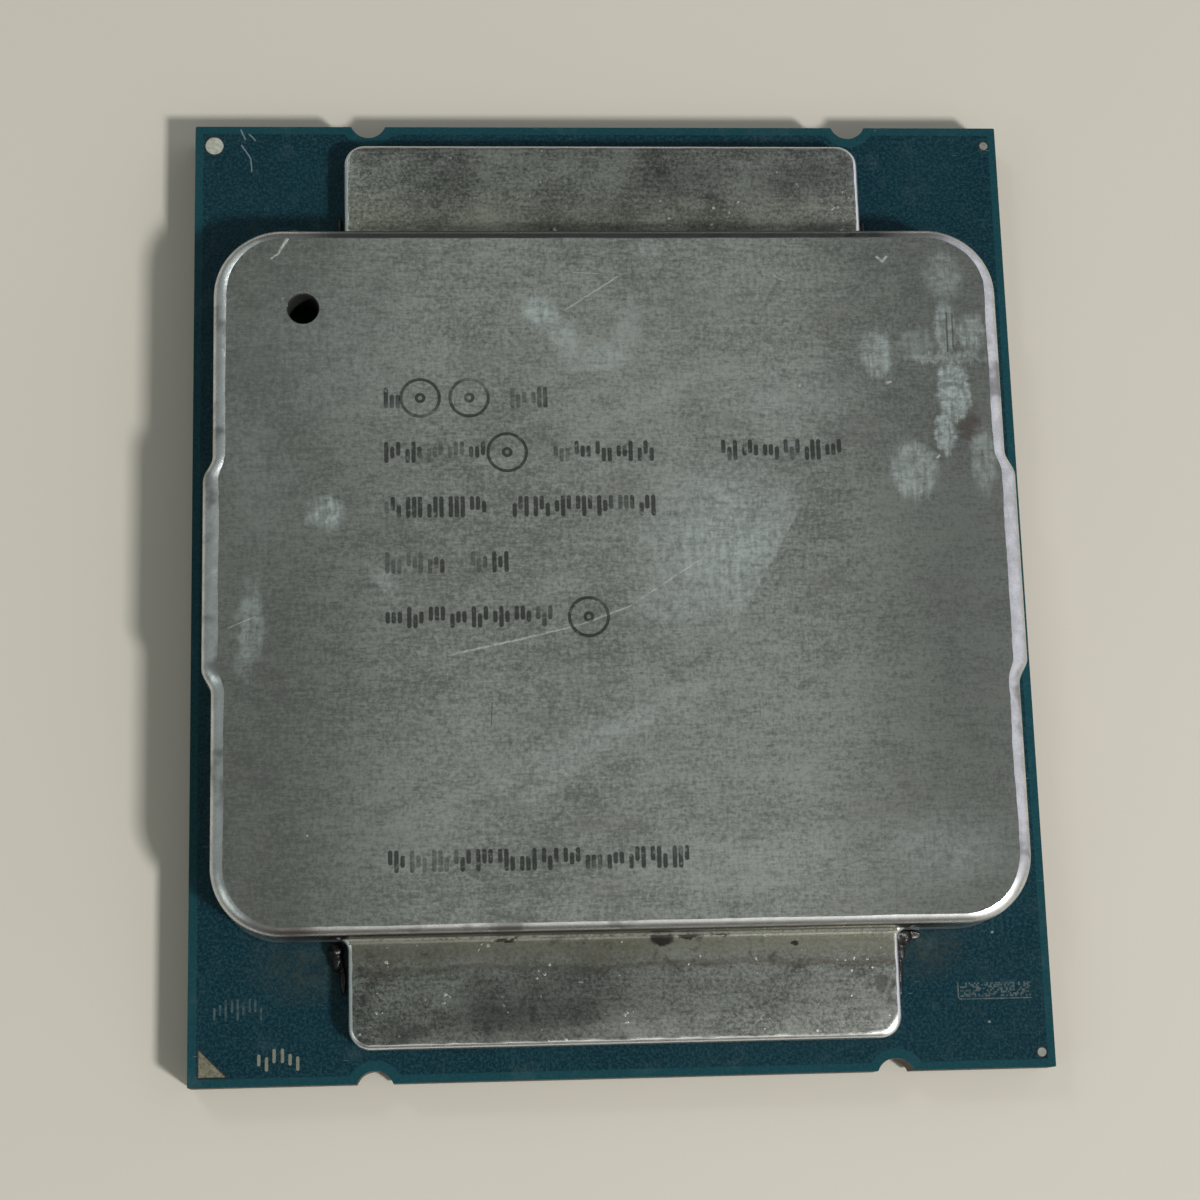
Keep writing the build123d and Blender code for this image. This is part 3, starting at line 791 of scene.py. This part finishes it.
def pad_metal(name, low, high):
    """Flash metal on the marks of the upper face, with painted shade that darkens it towards the right."""
    s = Shader(name)
    x, _, _ = s.axes()
    fine = s.noise(6.0, 4.0, 0.7)
    s.colour = s.mix(s.ramp(fine, 0.35, 0.7), low, high)
    # painted shade: darker towards the right
    s.coat(PAD_PAINTED_SHADE, s.ramp(x, -15.0, 15.0, 0.0, 0.6))
    return s.finish(metallic=0.55, roughness=0.5, normal=s.bump(fine, 0.006))


SEALANT_TONES = (0.006, 0.005, 0.004), (0.04, 0.034, 0.028)


def sealant():
    """Cured black adhesive, glossy where it squeezed out, with trapped dust."""
    s = Shader("sealant")
    dust = s.ramp(s.noise(7.0, 3.0, 0.7), 0.6, 0.74, 0.0, 0.4)
    s.colour = s.mix(dust, *SEALANT_TONES)
    return s.finish(roughness=s.blend(dust, 0.38, 0.65), normal=s.bump(s.noise(2.6, 3.0, 0.6), 0.03))


CERAMIC_TONES = (0.2, 0.115, 0.065), (0.36, 0.235, 0.14)


def ceramic():
    """Chip capacitor body: fired, slightly grainy."""
    return two_tone("capacitor_ceramic", CERAMIC_TONES, (9.0, 4.0, 0.7), 0.008, (0.3, 0.7), roughness=0.48)


SILICON_TONES = (0.07, 0.075, 0.085), (0.13, 0.135, 0.15)


def silicon():
    """Die: dark, smooth, with faint grinding marks."""
    s = Shader("silicon")
    grind = s.streaks((0.6, 14.0, 1.0), 22, 2.0)
    s.colour = s.mix(grind, *SILICON_TONES)
    return s.finish(metallic=0.4, roughness=0.24, normal=s.bump(grind, 0.002))


RESIN_TONES = (0.022, 0.02, 0.018), (0.055, 0.05, 0.044)


def resin():
    """Underfill: dark filled epoxy."""
    return two_tone("underfill_resin", RESIN_TONES, (3.0, 3.0), 0.02, roughness=0.28)


def board_ink(name, tones, fade):
    """Faint mark under or on the coating, broken up by wear."""
    return two_tone(name, tones, (3.0, 4.0, 0.7), 0.003, fade, roughness=0.45)


# ---- heat spreader ----
def bump_share(y):
    """0 to 1: how much of the side bump stands out at this y."""
    share = (SIDE_BUMP_FOOT_HALF - abs(y)) / (SIDE_BUMP_FOOT_HALF - SIDE_BUMP_FLAT_HALF)
    share = min(1.0, max(0.0, share))
    return share * share * (3 - 2 * share)


def lid_outline():
    """Outline of the main body with its side bumps."""
    pairs = []
    for point, normal in rounded_rectangle(LID_HALF, LID_CORNER_R):
        if abs(normal.x) > 0.999:
            point = point + normal * SIDE_BUMP_OUT * bump_share(point.y)
        pairs.append((point, normal))
    return pairs


def rim_width(point, normal):
    """Plan width of the rolled rim: wider on the sides, widest on the bumps, slightly uneven."""
    width = RIM_WIDTH_ENDS + (RIM_WIDTH_SIDES - RIM_WIDTH_ENDS) * normal.x**2
    width += (RIM_WIDTH_BACK - RIM_WIDTH_ENDS) * max(0.0, normal.y) ** 2
    if abs(normal.x) > 0.999:
        width += (RIM_WIDTH_BUMPS - RIM_WIDTH_SIDES) * bump_share(point.y)
    slow = wobble(point.x, point.y, 0.35, 3.0)
    quick = wobble(point.x, point.y, 2.2, 9.0)
    return width * (1 + 0.07 * slow + 0.03 * quick)


def rim_profile(start_deg, steps):
    """(inset share, drop share) pairs down a rolled edge that starts at a slope of start_deg."""
    start = math.radians(start_deg)
    pairs = []
    for step in range(steps + 1):
        angle = start + (math.pi / 2 - start) * step / steps
        inset = (1 - math.sin(angle)) / (1 - math.sin(start))
        drop = (math.cos(start) - math.cos(angle)) / math.cos(start)
        pairs.append((inset, drop))
    return pairs


def rim_dents(count, seed):
    """Places along the rim, as angle round the lid, depth and reach, where it has been knocked."""
    draw = random.Random(seed)
    return [
        (draw.uniform(-math.pi, math.pi), draw.uniform(0.01, 0.03), draw.uniform(0.004, 0.015))
        for _ in range(count)
    ]


def dent_depth(point, dents):
    angle = math.atan2(point.y, point.x)
    return sum(depth * math.exp(-(((angle - at) / reach) ** 2)) for at, depth, reach in dents)


def foot_rings(outline, size):
    """The last two rings of a wall, with a broken edge at the foot."""
    upper = [(p.x, p.y, LID_FOOT + size) for p, _ in outline]
    return [upper, [(p.x - n.x * size, p.y - n.y * size, LID_FOOT) for p, n in outline]]


def lid_body():
    """The main body: its top's edge rolls down the rim, which has been knocked here and there."""
    outline = lid_outline()
    dents = rim_dents(DENT_COUNT, DENT_SEED)
    rings = []
    for inset, drop in rim_profile(RIM_CREASE_DEG, RIM_STEPS):
        ring = []
        for point, normal in outline:
            dent = dent_depth(point, dents) * 4 * inset * (1 - inset)
            place = point - normal * (rim_width(point, normal) * inset + dent)
            ring.append((place.x, place.y, LID_TOP - RIM_DROP * drop - dent * 0.6))
        rings.append(ring)
    rings.append([(p.x, p.y, STEP_Z) for p, _ in outline])
    return skin_rings("heat_spreader_body", rings + foot_rings(outline, FOOT_BREAK))


def ear_outline():
    """Front ear, anticlockwise, starting inside the body and flaring into its wall."""
    wall = -LID_HALF.y
    end = -EAR_END_Y
    flare = EAR_HALF_X + EAR_ROOT_R
    corner = EAR_HALF_X - EAR_CORNER_R
    inside = wall + OVERLAP
    return (
        line((-flare, inside), (-flare, wall))
        + arc((-flare, wall - EAR_ROOT_R), EAR_ROOT_R, 90, 0)
        + line((-EAR_HALF_X, wall - EAR_ROOT_R), (-EAR_HALF_X, end + EAR_CORNER_R))
        + arc((-corner, end + EAR_CORNER_R), EAR_CORNER_R, 180, 270)
        + line((-corner, end), (corner, end))
        + arc((corner, end + EAR_CORNER_R), EAR_CORNER_R, 270, 360)
        + line((EAR_HALF_X, end + EAR_CORNER_R), (EAR_HALF_X, wall - EAR_ROOT_R))
        + arc((flare, wall - EAR_ROOT_R), EAR_ROOT_R, 180, 90)
        + line((flare, wall), (flare, inside))
        + line((flare, inside), (-flare, inside))
    )


def mirrored(rings, side):
    """Front rings as they are for side -1, reflected to the back, still anticlockwise, for side 1."""
    if side < 0:
        return rings
    return [[(x, -y, z) for x, y, z in reversed(ring)] for ring in rings]


def ear(side):
    """One ear as a solid that runs a little way into the body."""
    outline = ear_outline()
    rings = []
    for inset, drop in rim_profile(EAR_CREASE_DEG, EAR_ROUND_STEPS):
        ring = []
        for point, normal in outline:
            width = EAR_ROUND * (1 + 0.22 * wobble(point.x, side * point.y, 1.4, 5.0))
            width *= 1 + EAR_WORN_MORE * math.exp(-(point - EAR_WORN_XY).length_squared) * (side < 0)
            place = point - normal * width * inset
            ring.append((place.x, place.y, EAR_TOP - EAR_ROUND * drop))
        rings.append(ring)
    return skin_rings("heat_spreader_ear", mirrored(rings + foot_rings(outline, EAR_FOOT_BREAK), side))


def root_fillet(side):
    """Small hollow fillet where an ear's top meets the body's wall."""
    section = [(out, EAR_TOP - ROOT_SINK) for out in (-OVERLAP, ROOT_FILLET)]
    for step in range(ROOT_STEPS + 1):
        angle = math.pi / 2 * step / ROOT_STEPS
        out, up = 1 - math.sin(angle), 1 - math.cos(angle)
        section.append((ROOT_FILLET * out, EAR_TOP + ROOT_FILLET * up))
    section.append((-OVERLAP, EAR_TOP + ROOT_FILLET))
    half = EAR_HALF_X - 0.05
    ends = [[(x, side * (LID_HALF.y + out), z) for out, z in section] for x in (-half, half)]
    if side > 0:
        ends.reverse()
    return skin_rings("heat_spreader_root", ends)


def pocket_cutter():
    outline = rounded_rectangle(POCKET_HALF, POCKET_R)
    return skin_rings(
        "pocket", [[(p.x, p.y, z) for p, _ in outline] for z in (POCKET_CEILING, LID_FOOT - 1.0)]
    )


def vent_cutter():
    """Round hole with a lightly broken upper edge."""
    profile = (
        (VENT_R + 0.3, LID_TOP + 0.2),
        (VENT_R + 0.07, LID_TOP),
        (VENT_R + 0.02, LID_TOP - 0.05),
        (VENT_R, LID_TOP - 0.1),
        (VENT_R, POCKET_CEILING - OVERLAP),
    )
    rings = [[(x, y, z) for x, y in circle(VENT_XY, radius, VENT_SEGMENTS)] for radius, z in profile]
    return skin_rings("vent", rings)


def lid_finish(face):
    """Which of the lid's four finishes a face has: top, rim, ear or inside."""
    centre = face.center / MM
    in_pocket = abs(centre.x) < POCKET_HALF.x + 0.05 and abs(centre.y) < POCKET_HALF.y + 0.05
    on_ear = abs(centre.y) > LID_HALF.y - 0.01 and EAR_TOP - 0.02 < centre.z < EAR_TOP + ROOT_FILLET
    if face.normal.z > 0.985 and centre.z > LID_TOP - 0.05:
        return 0
    if in_pocket and centre.z < LID_TOP - 0.02:
        return 3
    return 2 if on_ear else 1


def heat_spreader():
    lid = lid_body()
    combine(lid, [ear(-1), ear(1), root_fillet(-1), root_fillet(1)], "UNION")
    combine(lid, [pocket_cutter(), vent_cutter()], "DIFFERENCE")
    lid.name = "heat_spreader_plated"
    mesh = lid.data
    mesh.materials.clear()
    for material in (nickel_top("nickel_top"), nickel_rim(), nickel_ear(), nickel_inside()):
        mesh.materials.append(material)
    for face in mesh.polygons:
        face.material_index = lid_finish(face)
    mesh.shade_smooth()
    mesh.set_sharp_from_angle(angle=math.radians(SHARP_DEG))
    sharpen_top_edge(mesh)
    hand_over(lid, "heat_spreader")


# ---- squeezed-out sealant ----
# beads: x, y, half x, half y, height above the substrate
BEADS = (
    (-14.9, -19.52, 0.44, 0.44, 0.85),
    (-14.82, -20.05, 0.36, 0.52, 0.7),
    (-14.55, -20.95, 0.2, 0.8, 0.4),
    (14.7, -19.4, 0.52, 0.5, 0.6),
    (15.15, -19.25, 0.6, 0.3, 0.12),
    (14.55, -20.1, 0.3, 0.6, 0.36),
    (14.48, -21.1, 0.2, 0.75, 0.26),
    (14.46, -21.95, 0.15, 0.55, 0.16),
    (14.78, 19.38, 0.36, 0.32, 0.5),
    (15.3, 19.28, 0.5, 0.24, 0.25),
    (14.58, 20.15, 0.18, 0.5, 0.3),
    (-14.72, 19.36, 0.32, 0.3, 0.45),
    (-15.2, 19.26, 0.45, 0.22, 0.22),
    (-14.55, 20.25, 0.16, 0.6, 0.3),
)
BEAD_VOXEL = 0.045
BEAD_SINK = 0.02                # how far the beads run into the board
BEAD_SWELL = 0.16


def squeezed_sealant(material):
    """Lumps of cured adhesive in the inner corners of the ears, melted into one skin."""
    soup = bmesh.new()
    for index, (x, y, half_x, half_y, height) in enumerate(BEADS):
        for vertex in bmesh.ops.create_icosphere(soup, subdivisions=4, radius=1.0)["verts"]:
            bulge = noise.noise(vertex.co * 1.7 + Vector((index * 3.1, 0, 0)))
            local = vertex.co * (1 + BEAD_SWELL * bulge)
            place = (x + local.x * half_x, y + local.y * half_y, SUBSTRATE_TOP + local.z * height)
            vertex.co = Vector(place) * MM
    piece = object_from_soup("sealant_beads", soup)
    remesh = piece.modifiers.new("skin", "REMESH")
    remesh.mode = "VOXEL"
    remesh.voxel_size = BEAD_VOXEL * MM
    soften = piece.modifiers.new("soften", "SMOOTH")
    soften.factor = 0.6
    soften.iterations = 8
    apply_modifiers(piece)
    for vertex in piece.data.vertices:
        vertex.co.z = max(vertex.co.z, (SUBSTRATE_TOP - BEAD_SINK) * MM)
    piece.data.shade_smooth()
    piece.data.materials.clear()
    piece.data.materials.append(material)
    hand_over(piece, "seal_squeeze_out")


# ---- generic marking: rows of abstract signs, no letters or numbers ----
SIGN_HEIGHT = 1.16
SIGN_WIDTH = 0.86
SIGN_PITCH = 1.12
STROKE_HALF = 0.115
LID_MARK_SEED, BOARD_MARK_SEED = 29, 41
MARK_LIFT = 0.002
MARK_THICKNESS = 0.004
# a sign is a cluster of upright bars, each full height, or its upper, lower or middle part
BAR_SPANS = ((0.0, 1.0), (0.42, 1.0), (0.0, 0.58), (0.28, 0.72))
BARS_PER_SIGN = 3
# rows of signs: x of the first sign, y of the row's middle, pattern; x is a sign and a dot a gap
LID_ROWS = (
    (-12.17, 9.38, "x.....xx"),
    (-12.17, 6.38, "xxxxx...xxxxx...xxxxxx"),
    (-12.17, 3.38, "xxxxx.xxxxxxx"),
    (-12.17, 0.38, "xxx.xx"),
    (-12.17, -2.56, "xxxxxxxx"),
    (-12.15, -15.28, "xxxxxxxxxxxxxx"),
)
RINGS = ((-10.24, 9.38), (-7.64, 9.38), (-5.67, 6.35), (-1.56, -2.62))
RING_DOT_R = 0.2
RING_R = 1.02
RING_HALF_WIDTH = 0.085
RING_SEGMENTS = 56


def add_capsule(soup, start, end, half_width, low, high):
    """A thin slab with rounded ends from start to end."""
    start, end = Vector(start), Vector(end)
    run = end - start
    heading = math.atan2(run.y, run.x)
    steps = 5
    outline = []
    for centre, turn in ((end, -math.pi / 2), (start, math.pi / 2)):
        for step in range(steps + 1):
            angle = heading + turn + math.pi * step / steps
            outline.append(centre + half_width * Vector((math.cos(angle), math.sin(angle))))
    add_prism(soup, outline, low, high)


def add_prism(soup, outline, low, high):
    """An outline, anticlockwise, as a closed slab."""
    bottom = [soup.verts.new(Vector((p.x, p.y, low)) * MM) for p in outline]
    top = [soup.verts.new(Vector((p.x, p.y, high)) * MM) for p in outline]
    count = len(outline)
    soup.faces.new(top)
    soup.faces.new(list(reversed(bottom)))
    for i in range(count):
        j = (i + 1) % count
        soup.faces.new((bottom[i], bottom[j], top[j], top[i]))


def add_ring(soup, centre, radius, low, high):
    """A flat annulus as a closed band."""
    outer, inner = radius + RING_HALF_WIDTH, radius - RING_HALF_WIDTH
    loops = []
    for r, z in ((outer, high), (outer, low), (inner, low), (inner, high)):
        places = circle(centre, r, RING_SEGMENTS)
        loops.append([soup.verts.new(Vector((x, y, z)) * MM) for x, y in places])
    for level in range(4):
        first, second = loops[level], loops[(level + 1) % 4]
        for i in range(RING_SEGMENTS):
            j = (i + 1) % RING_SEGMENTS
            soup.faces.new((first[j], first[i], second[i], second[j]))


def finish_marks(name, soup, material):
    piece = object_from_soup(name, soup)
    piece.data.materials.append(material)
    hand_over(piece)


def add_bars(soup, draw, left, low_y, width, height, half_width, low, high):
    """One sign: upright bars side by side, each with its own span."""
    for bar in range(BARS_PER_SIGN):
        bottom, top = draw.choice(BAR_SPANS)
        x = left + half_width + bar * (width - 2 * half_width) / (BARS_PER_SIGN - 1)
        reach = height - 2 * half_width
        start = (x, low_y + half_width + bottom * reach)
        end = (x, low_y + half_width + top * reach)
        add_capsule(soup, start, end, half_width, low, high)


def lid_marking():
    """Laser marking on the lid: rows of bars and rings that stand for the real lines."""
    draw = random.Random(LID_MARK_SEED)
    soup = bmesh.new()
    low = LID_TOP + MARK_LIFT
    high = low + MARK_THICKNESS
    for left, middle, pattern in LID_ROWS:
        for column, kind in enumerate(pattern):
            if kind == "x":
                x = left + column * SIGN_PITCH
                y = middle - SIGN_HEIGHT / 2
                add_bars(soup, draw, x, y, SIGN_WIDTH, SIGN_HEIGHT, STROKE_HALF, low, high)
    for centre in RINGS:
        add_ring(soup, centre, RING_R, low, high)
        add_ring(soup, centre, RING_DOT_R, low, high)
    finish_marks("lid_marking", soup, nickel_top("nickel_marked", marked=True))


GRID_CORNER = (17.65, -22.55)
GRID_CELL = 0.094
GRID_COLUMNS = 40
GRID_ROWS = 8
GRID_FILL = 0.5
GRID_MARGIN = 0.1
DOT_HALF = 0.47 * GRID_CELL
FRAME_HALF_WIDTH = 0.035
PALE_INK = ("board_mark_pale", ((0.07, 0.085, 0.07), (0.17, 0.175, 0.13)), (0.25, 0.5))
FAINT_INK = ("board_mark_faint", ((0.008, 0.03, 0.04), (0.045, 0.085, 0.092)), (0.35, 0.65))
GRID_INK = ("board_mark_grid", ((0.012, 0.038, 0.044), (0.075, 0.105, 0.108)), (0.32, 0.66))
# sets of bars: name, ink, lefts, then low y, width, height and half width
BOARD_BARS = (
    ("board_mark", PALE_INK, (-18.95, -17.75), (-25.5, 0.95, 1.15, 0.085)),
    ("board_ticks", FAINT_INK, (-21.2, -20.3, -19.4), (-22.9, 0.7, 1.1, 0.06)),
)


def board_marking():
    """Faint generic marks on the board: two sets of bars and a grid of dots."""
    draw = random.Random(BOARD_MARK_SEED)
    low = SUBSTRATE_TOP + MARK_LIFT
    high = low + MARK_THICKNESS
    for name, ink, lefts, shape in BOARD_BARS:
        soup = bmesh.new()
        for left in lefts:
            add_bars(soup, draw, left, *shape, low, high)
        finish_marks(name, soup, board_ink(*ink))

    soup = bmesh.new()
    for column in range(GRID_COLUMNS):
        for row in range(GRID_ROWS):
            if draw.random() < GRID_FILL:
                x = GRID_CORNER[0] + (column + 0.5) * GRID_CELL
                y = GRID_CORNER[1] + (row + 0.5) * GRID_CELL
                corners = [Vector((x + i * DOT_HALF, y + j * DOT_HALF)) for i, j in SQUARE]
                add_prism(soup, corners, low, high)
    left, foot = (c - GRID_MARGIN for c in GRID_CORNER)
    right = GRID_CORNER[0] + GRID_COLUMNS * GRID_CELL
    head = GRID_CORNER[1] + GRID_ROWS * GRID_CELL
    for end in ((right, foot), (left, head)):
        add_capsule(soup, (left, foot), end, FRAME_HALF_WIDTH, low, high)
    finish_marks("board_grid", soup, board_ink(*GRID_INK))


# ---- CAD nodes that keep their shape ----
def both(layer):
    """The upper and the lower node of a layer."""
    return [layer + "_top", layer + "_bottom"]


def capacitors(part):
    """One part of the capacitors beside the die and of those on the land side."""
    return [f"{side}_side_capacitor_{part}" for side in ("die", "land")]


def dress_cad_nodes():
    """Gives every CAD node that is shown as it is its finish. Returns the sealant's."""
    copper = metal("copper", (0.55, 0.27, 0.15), (0.8, 0.45, 0.28), 0.34, 5.0, 0.004)
    plated = metal("plated_gold", (0.66, 0.47, 0.2), (0.86, 0.66, 0.32), 0.3, 5.0, 0.004)
    solder = metal("solder", (0.48, 0.48, 0.48), (0.74, 0.74, 0.73), 0.36, 8.0, 0.006)
    tin = metal("tin", (0.55, 0.54, 0.52), (0.8, 0.79, 0.76), 0.3, 9.0, 0.006)
    seal = sealant()
    finishes = (
        (laminate("laminate_core", (0.015, 0.01, 0.004), (0.075, 0.048, 0.016)), ["substrate_core"]),
        (laminate("laminate_buildup", (0.012, 0.009, 0.004), (0.05, 0.036, 0.015)), both("buildup")),
        (copper, both("core_copper") + both("copper_plane") + ["die_bumps"]),
        (solder_mask("solder_mask_top", True), ["solder_mask_top"]),
        (solder_mask("solder_mask_bottom", False), ["solder_mask_bottom"]),
        (pad_metal("pad_metal", (0.42, 0.43, 0.36), (0.66, 0.67, 0.6)), ["fiducial_pads"]),
        (pad_metal("mark_gold", (0.13, 0.125, 0.085), (0.29, 0.28, 0.205)), ["pin_one_mark_top"]),
        (plated, ["pin_one_mark_bottom", "die_back_metal", "lid_gold_patch"] + capacitors("pads")),
        (land_gold(), ["contact_lands"]),
        (silicon(), ["silicon_die"]),
        (resin(), ["underfill"]),
        (solder, ["solder_interface"] + capacitors("solder")),
        (ceramic(), capacitors("bodies")),
        (tin, capacitors("terminals")),
        (seal, ["lid_seal", "ear_seal_front", "ear_seal_back"]),
    )
    for material, names in finishes:
        for name in names:
            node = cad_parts[name]
            if not node.material_slots:
                node.data.materials.append(material)
            for slot in node.material_slots:
                slot.link = "OBJECT"
                slot.material = material
    return seal


# ---- stage, light and camera ----
FLOOR_HALF = 4000.0
FLOOR_TONES = (0.57, 0.535, 0.465), (0.61, 0.575, 0.5)


def floor():
    """Plain pale floor under the land-side capacitors."""
    z = cad_box[0].z / MM
    corners = [(i * FLOOR_HALF, j * FLOOR_HALF, z) for i, j in SQUARE]
    s = Shader("floor")
    s.finish(base_color=s.mix(s.noise(0.02, 3.0, 0.5), *FLOOR_TONES), roughness=0.75)
    make_object("floor", corners, [(0, 1, 2, 3)], [s.material])


def aim(view, target, roll_deg):
    """Points the camera at the target with its X as near to the part's X as can be, then rolls it."""
    forward = (target * MM - view.location).normalized()
    right = Vector((1.0, 0.0, 0.0)) - forward * forward.x
    right.normalize()
    up = right.cross(forward)
    turn = Matrix((right, up, -forward)).transposed()
    view.rotation_euler = (turn @ Matrix.Rotation(math.radians(roll_deg), 3, "Z")).to_euler()


def sphere_direction(azimuth_deg, elevation_deg):
    a, e = math.radians(azimuth_deg), math.radians(elevation_deg)
    return Vector((math.cos(a) * math.cos(e), math.sin(a) * math.cos(e), math.sin(e)))


# name, azimuth, elevation, distance, width, height, watts, colour
SOFTBOXES = (
    ("key", -40, 45, 700, 80, 80, 3.9, (1.0, 0.99, 0.98)),
    ("fill", 132, 48, 800, 120, 100, 0.42, (0.96, 1.0, 0.98)),
)


def softbox(name, azimuth_deg, elevation_deg, distance, width, height, watts, colour):
    """A rectangular light on a sphere round the part. Azimuth 0 is +X, 90 is +Y."""
    light = bpy.data.lights.new(name, "AREA")
    light.shape = "RECTANGLE"
    light.size = width * MM
    light.size_y = height * MM
    light.energy = watts
    light.color = colour
    lamp = new_object(name, light)
    lamp.location = sphere_direction(azimuth_deg, elevation_deg) * distance * MM
    lamp.rotation_euler = (-lamp.location).to_track_quat("-Z", "Z").to_euler()


# soft bright areas of the room: azimuth, elevation, inner and outer radius in degrees, colour
ROOM_AREAS = (
    (25, 20, 12, 50, (0.66, 0.66, 0.74)),
    (-45, 24, 4, 30, (0.95, 0.93, 0.84)),
    (-86, 50, 3, 20, (0.62, 0.6, 0.55)),
    (-157, 34, 2, 19, (0.85, 0.95, 0.9)),
    (180, 20, 10, 50, (0.15, 0.185, 0.185)),
    (128, 30, 3, 24, (0.36, 0.42, 0.42)),
)
ROOM_ZENITH = (0.142, 0.151, 0.143)
ROOM_LEVEL = (0.065, 0.065, 0.064)


def surroundings():
    """Room light: dim overhead, with a few broad soft areas low down."""
    world = bpy.data.worlds.new("room")
    world.use_nodes = True
    bpy.context.scene.world = world
    steps = NodeSteps(world.node_tree)
    place = steps.add("ShaderNodeTexCoord", {})["Generated"]
    total = steps.mix(steps.split(place)["Z"], ROOM_LEVEL, ROOM_ZENITH)
    for azimuth, elevation, inner, outer, colour in ROOM_AREAS:
        aligned = steps.vector("DOT_PRODUCT", place, sphere_direction(azimuth, elevation))
        inner_cosine, outer_cosine = (math.cos(math.radians(reach)) for reach in (inner, outer))
        share = steps.ramp(aligned, outer_cosine, inner_cosine, curve="SMOOTHERSTEP")
        total = steps.mix(share, total, colour, "ADD")
    steps.feed(world.node_tree.nodes["Background"].inputs["Color"], total)


SENSOR_MM = 36.0
LENS_MM = 74.7
CLIP_M = (0.01, 20.0)
CAMERA_PLACE = Vector((-10.42, -30.46, 130.32 + SUBSTRATE_TOP))
CAMERA_TARGET = Vector((-0.71, -0.98, SUBSTRATE_TOP))
CAMERA_ROLL_DEG = -0.66


def camera():
    """The viewing point: nearly overhead, from the front and a little left of the part's middle."""
    data = bpy.data.cameras.new("camera")
    data.sensor_width = SENSOR_MM
    data.lens = LENS_MM
    data.clip_start, data.clip_end = CLIP_M
    view = new_object("camera", data)
    view.location = CAMERA_PLACE * MM
    aim(view, CAMERA_TARGET, CAMERA_ROLL_DEG)
    bpy.context.scene.camera = view


# ---- build ----
seal_material = dress_cad_nodes()
heat_spreader()
squeezed_sealant(seal_material)
lid_marking()
board_marking()
floor()
surroundings()
for light in SOFTBOXES:
    softbox(*light)
camera()
bpy.context.scene.view_settings.view_transform = "Standard"
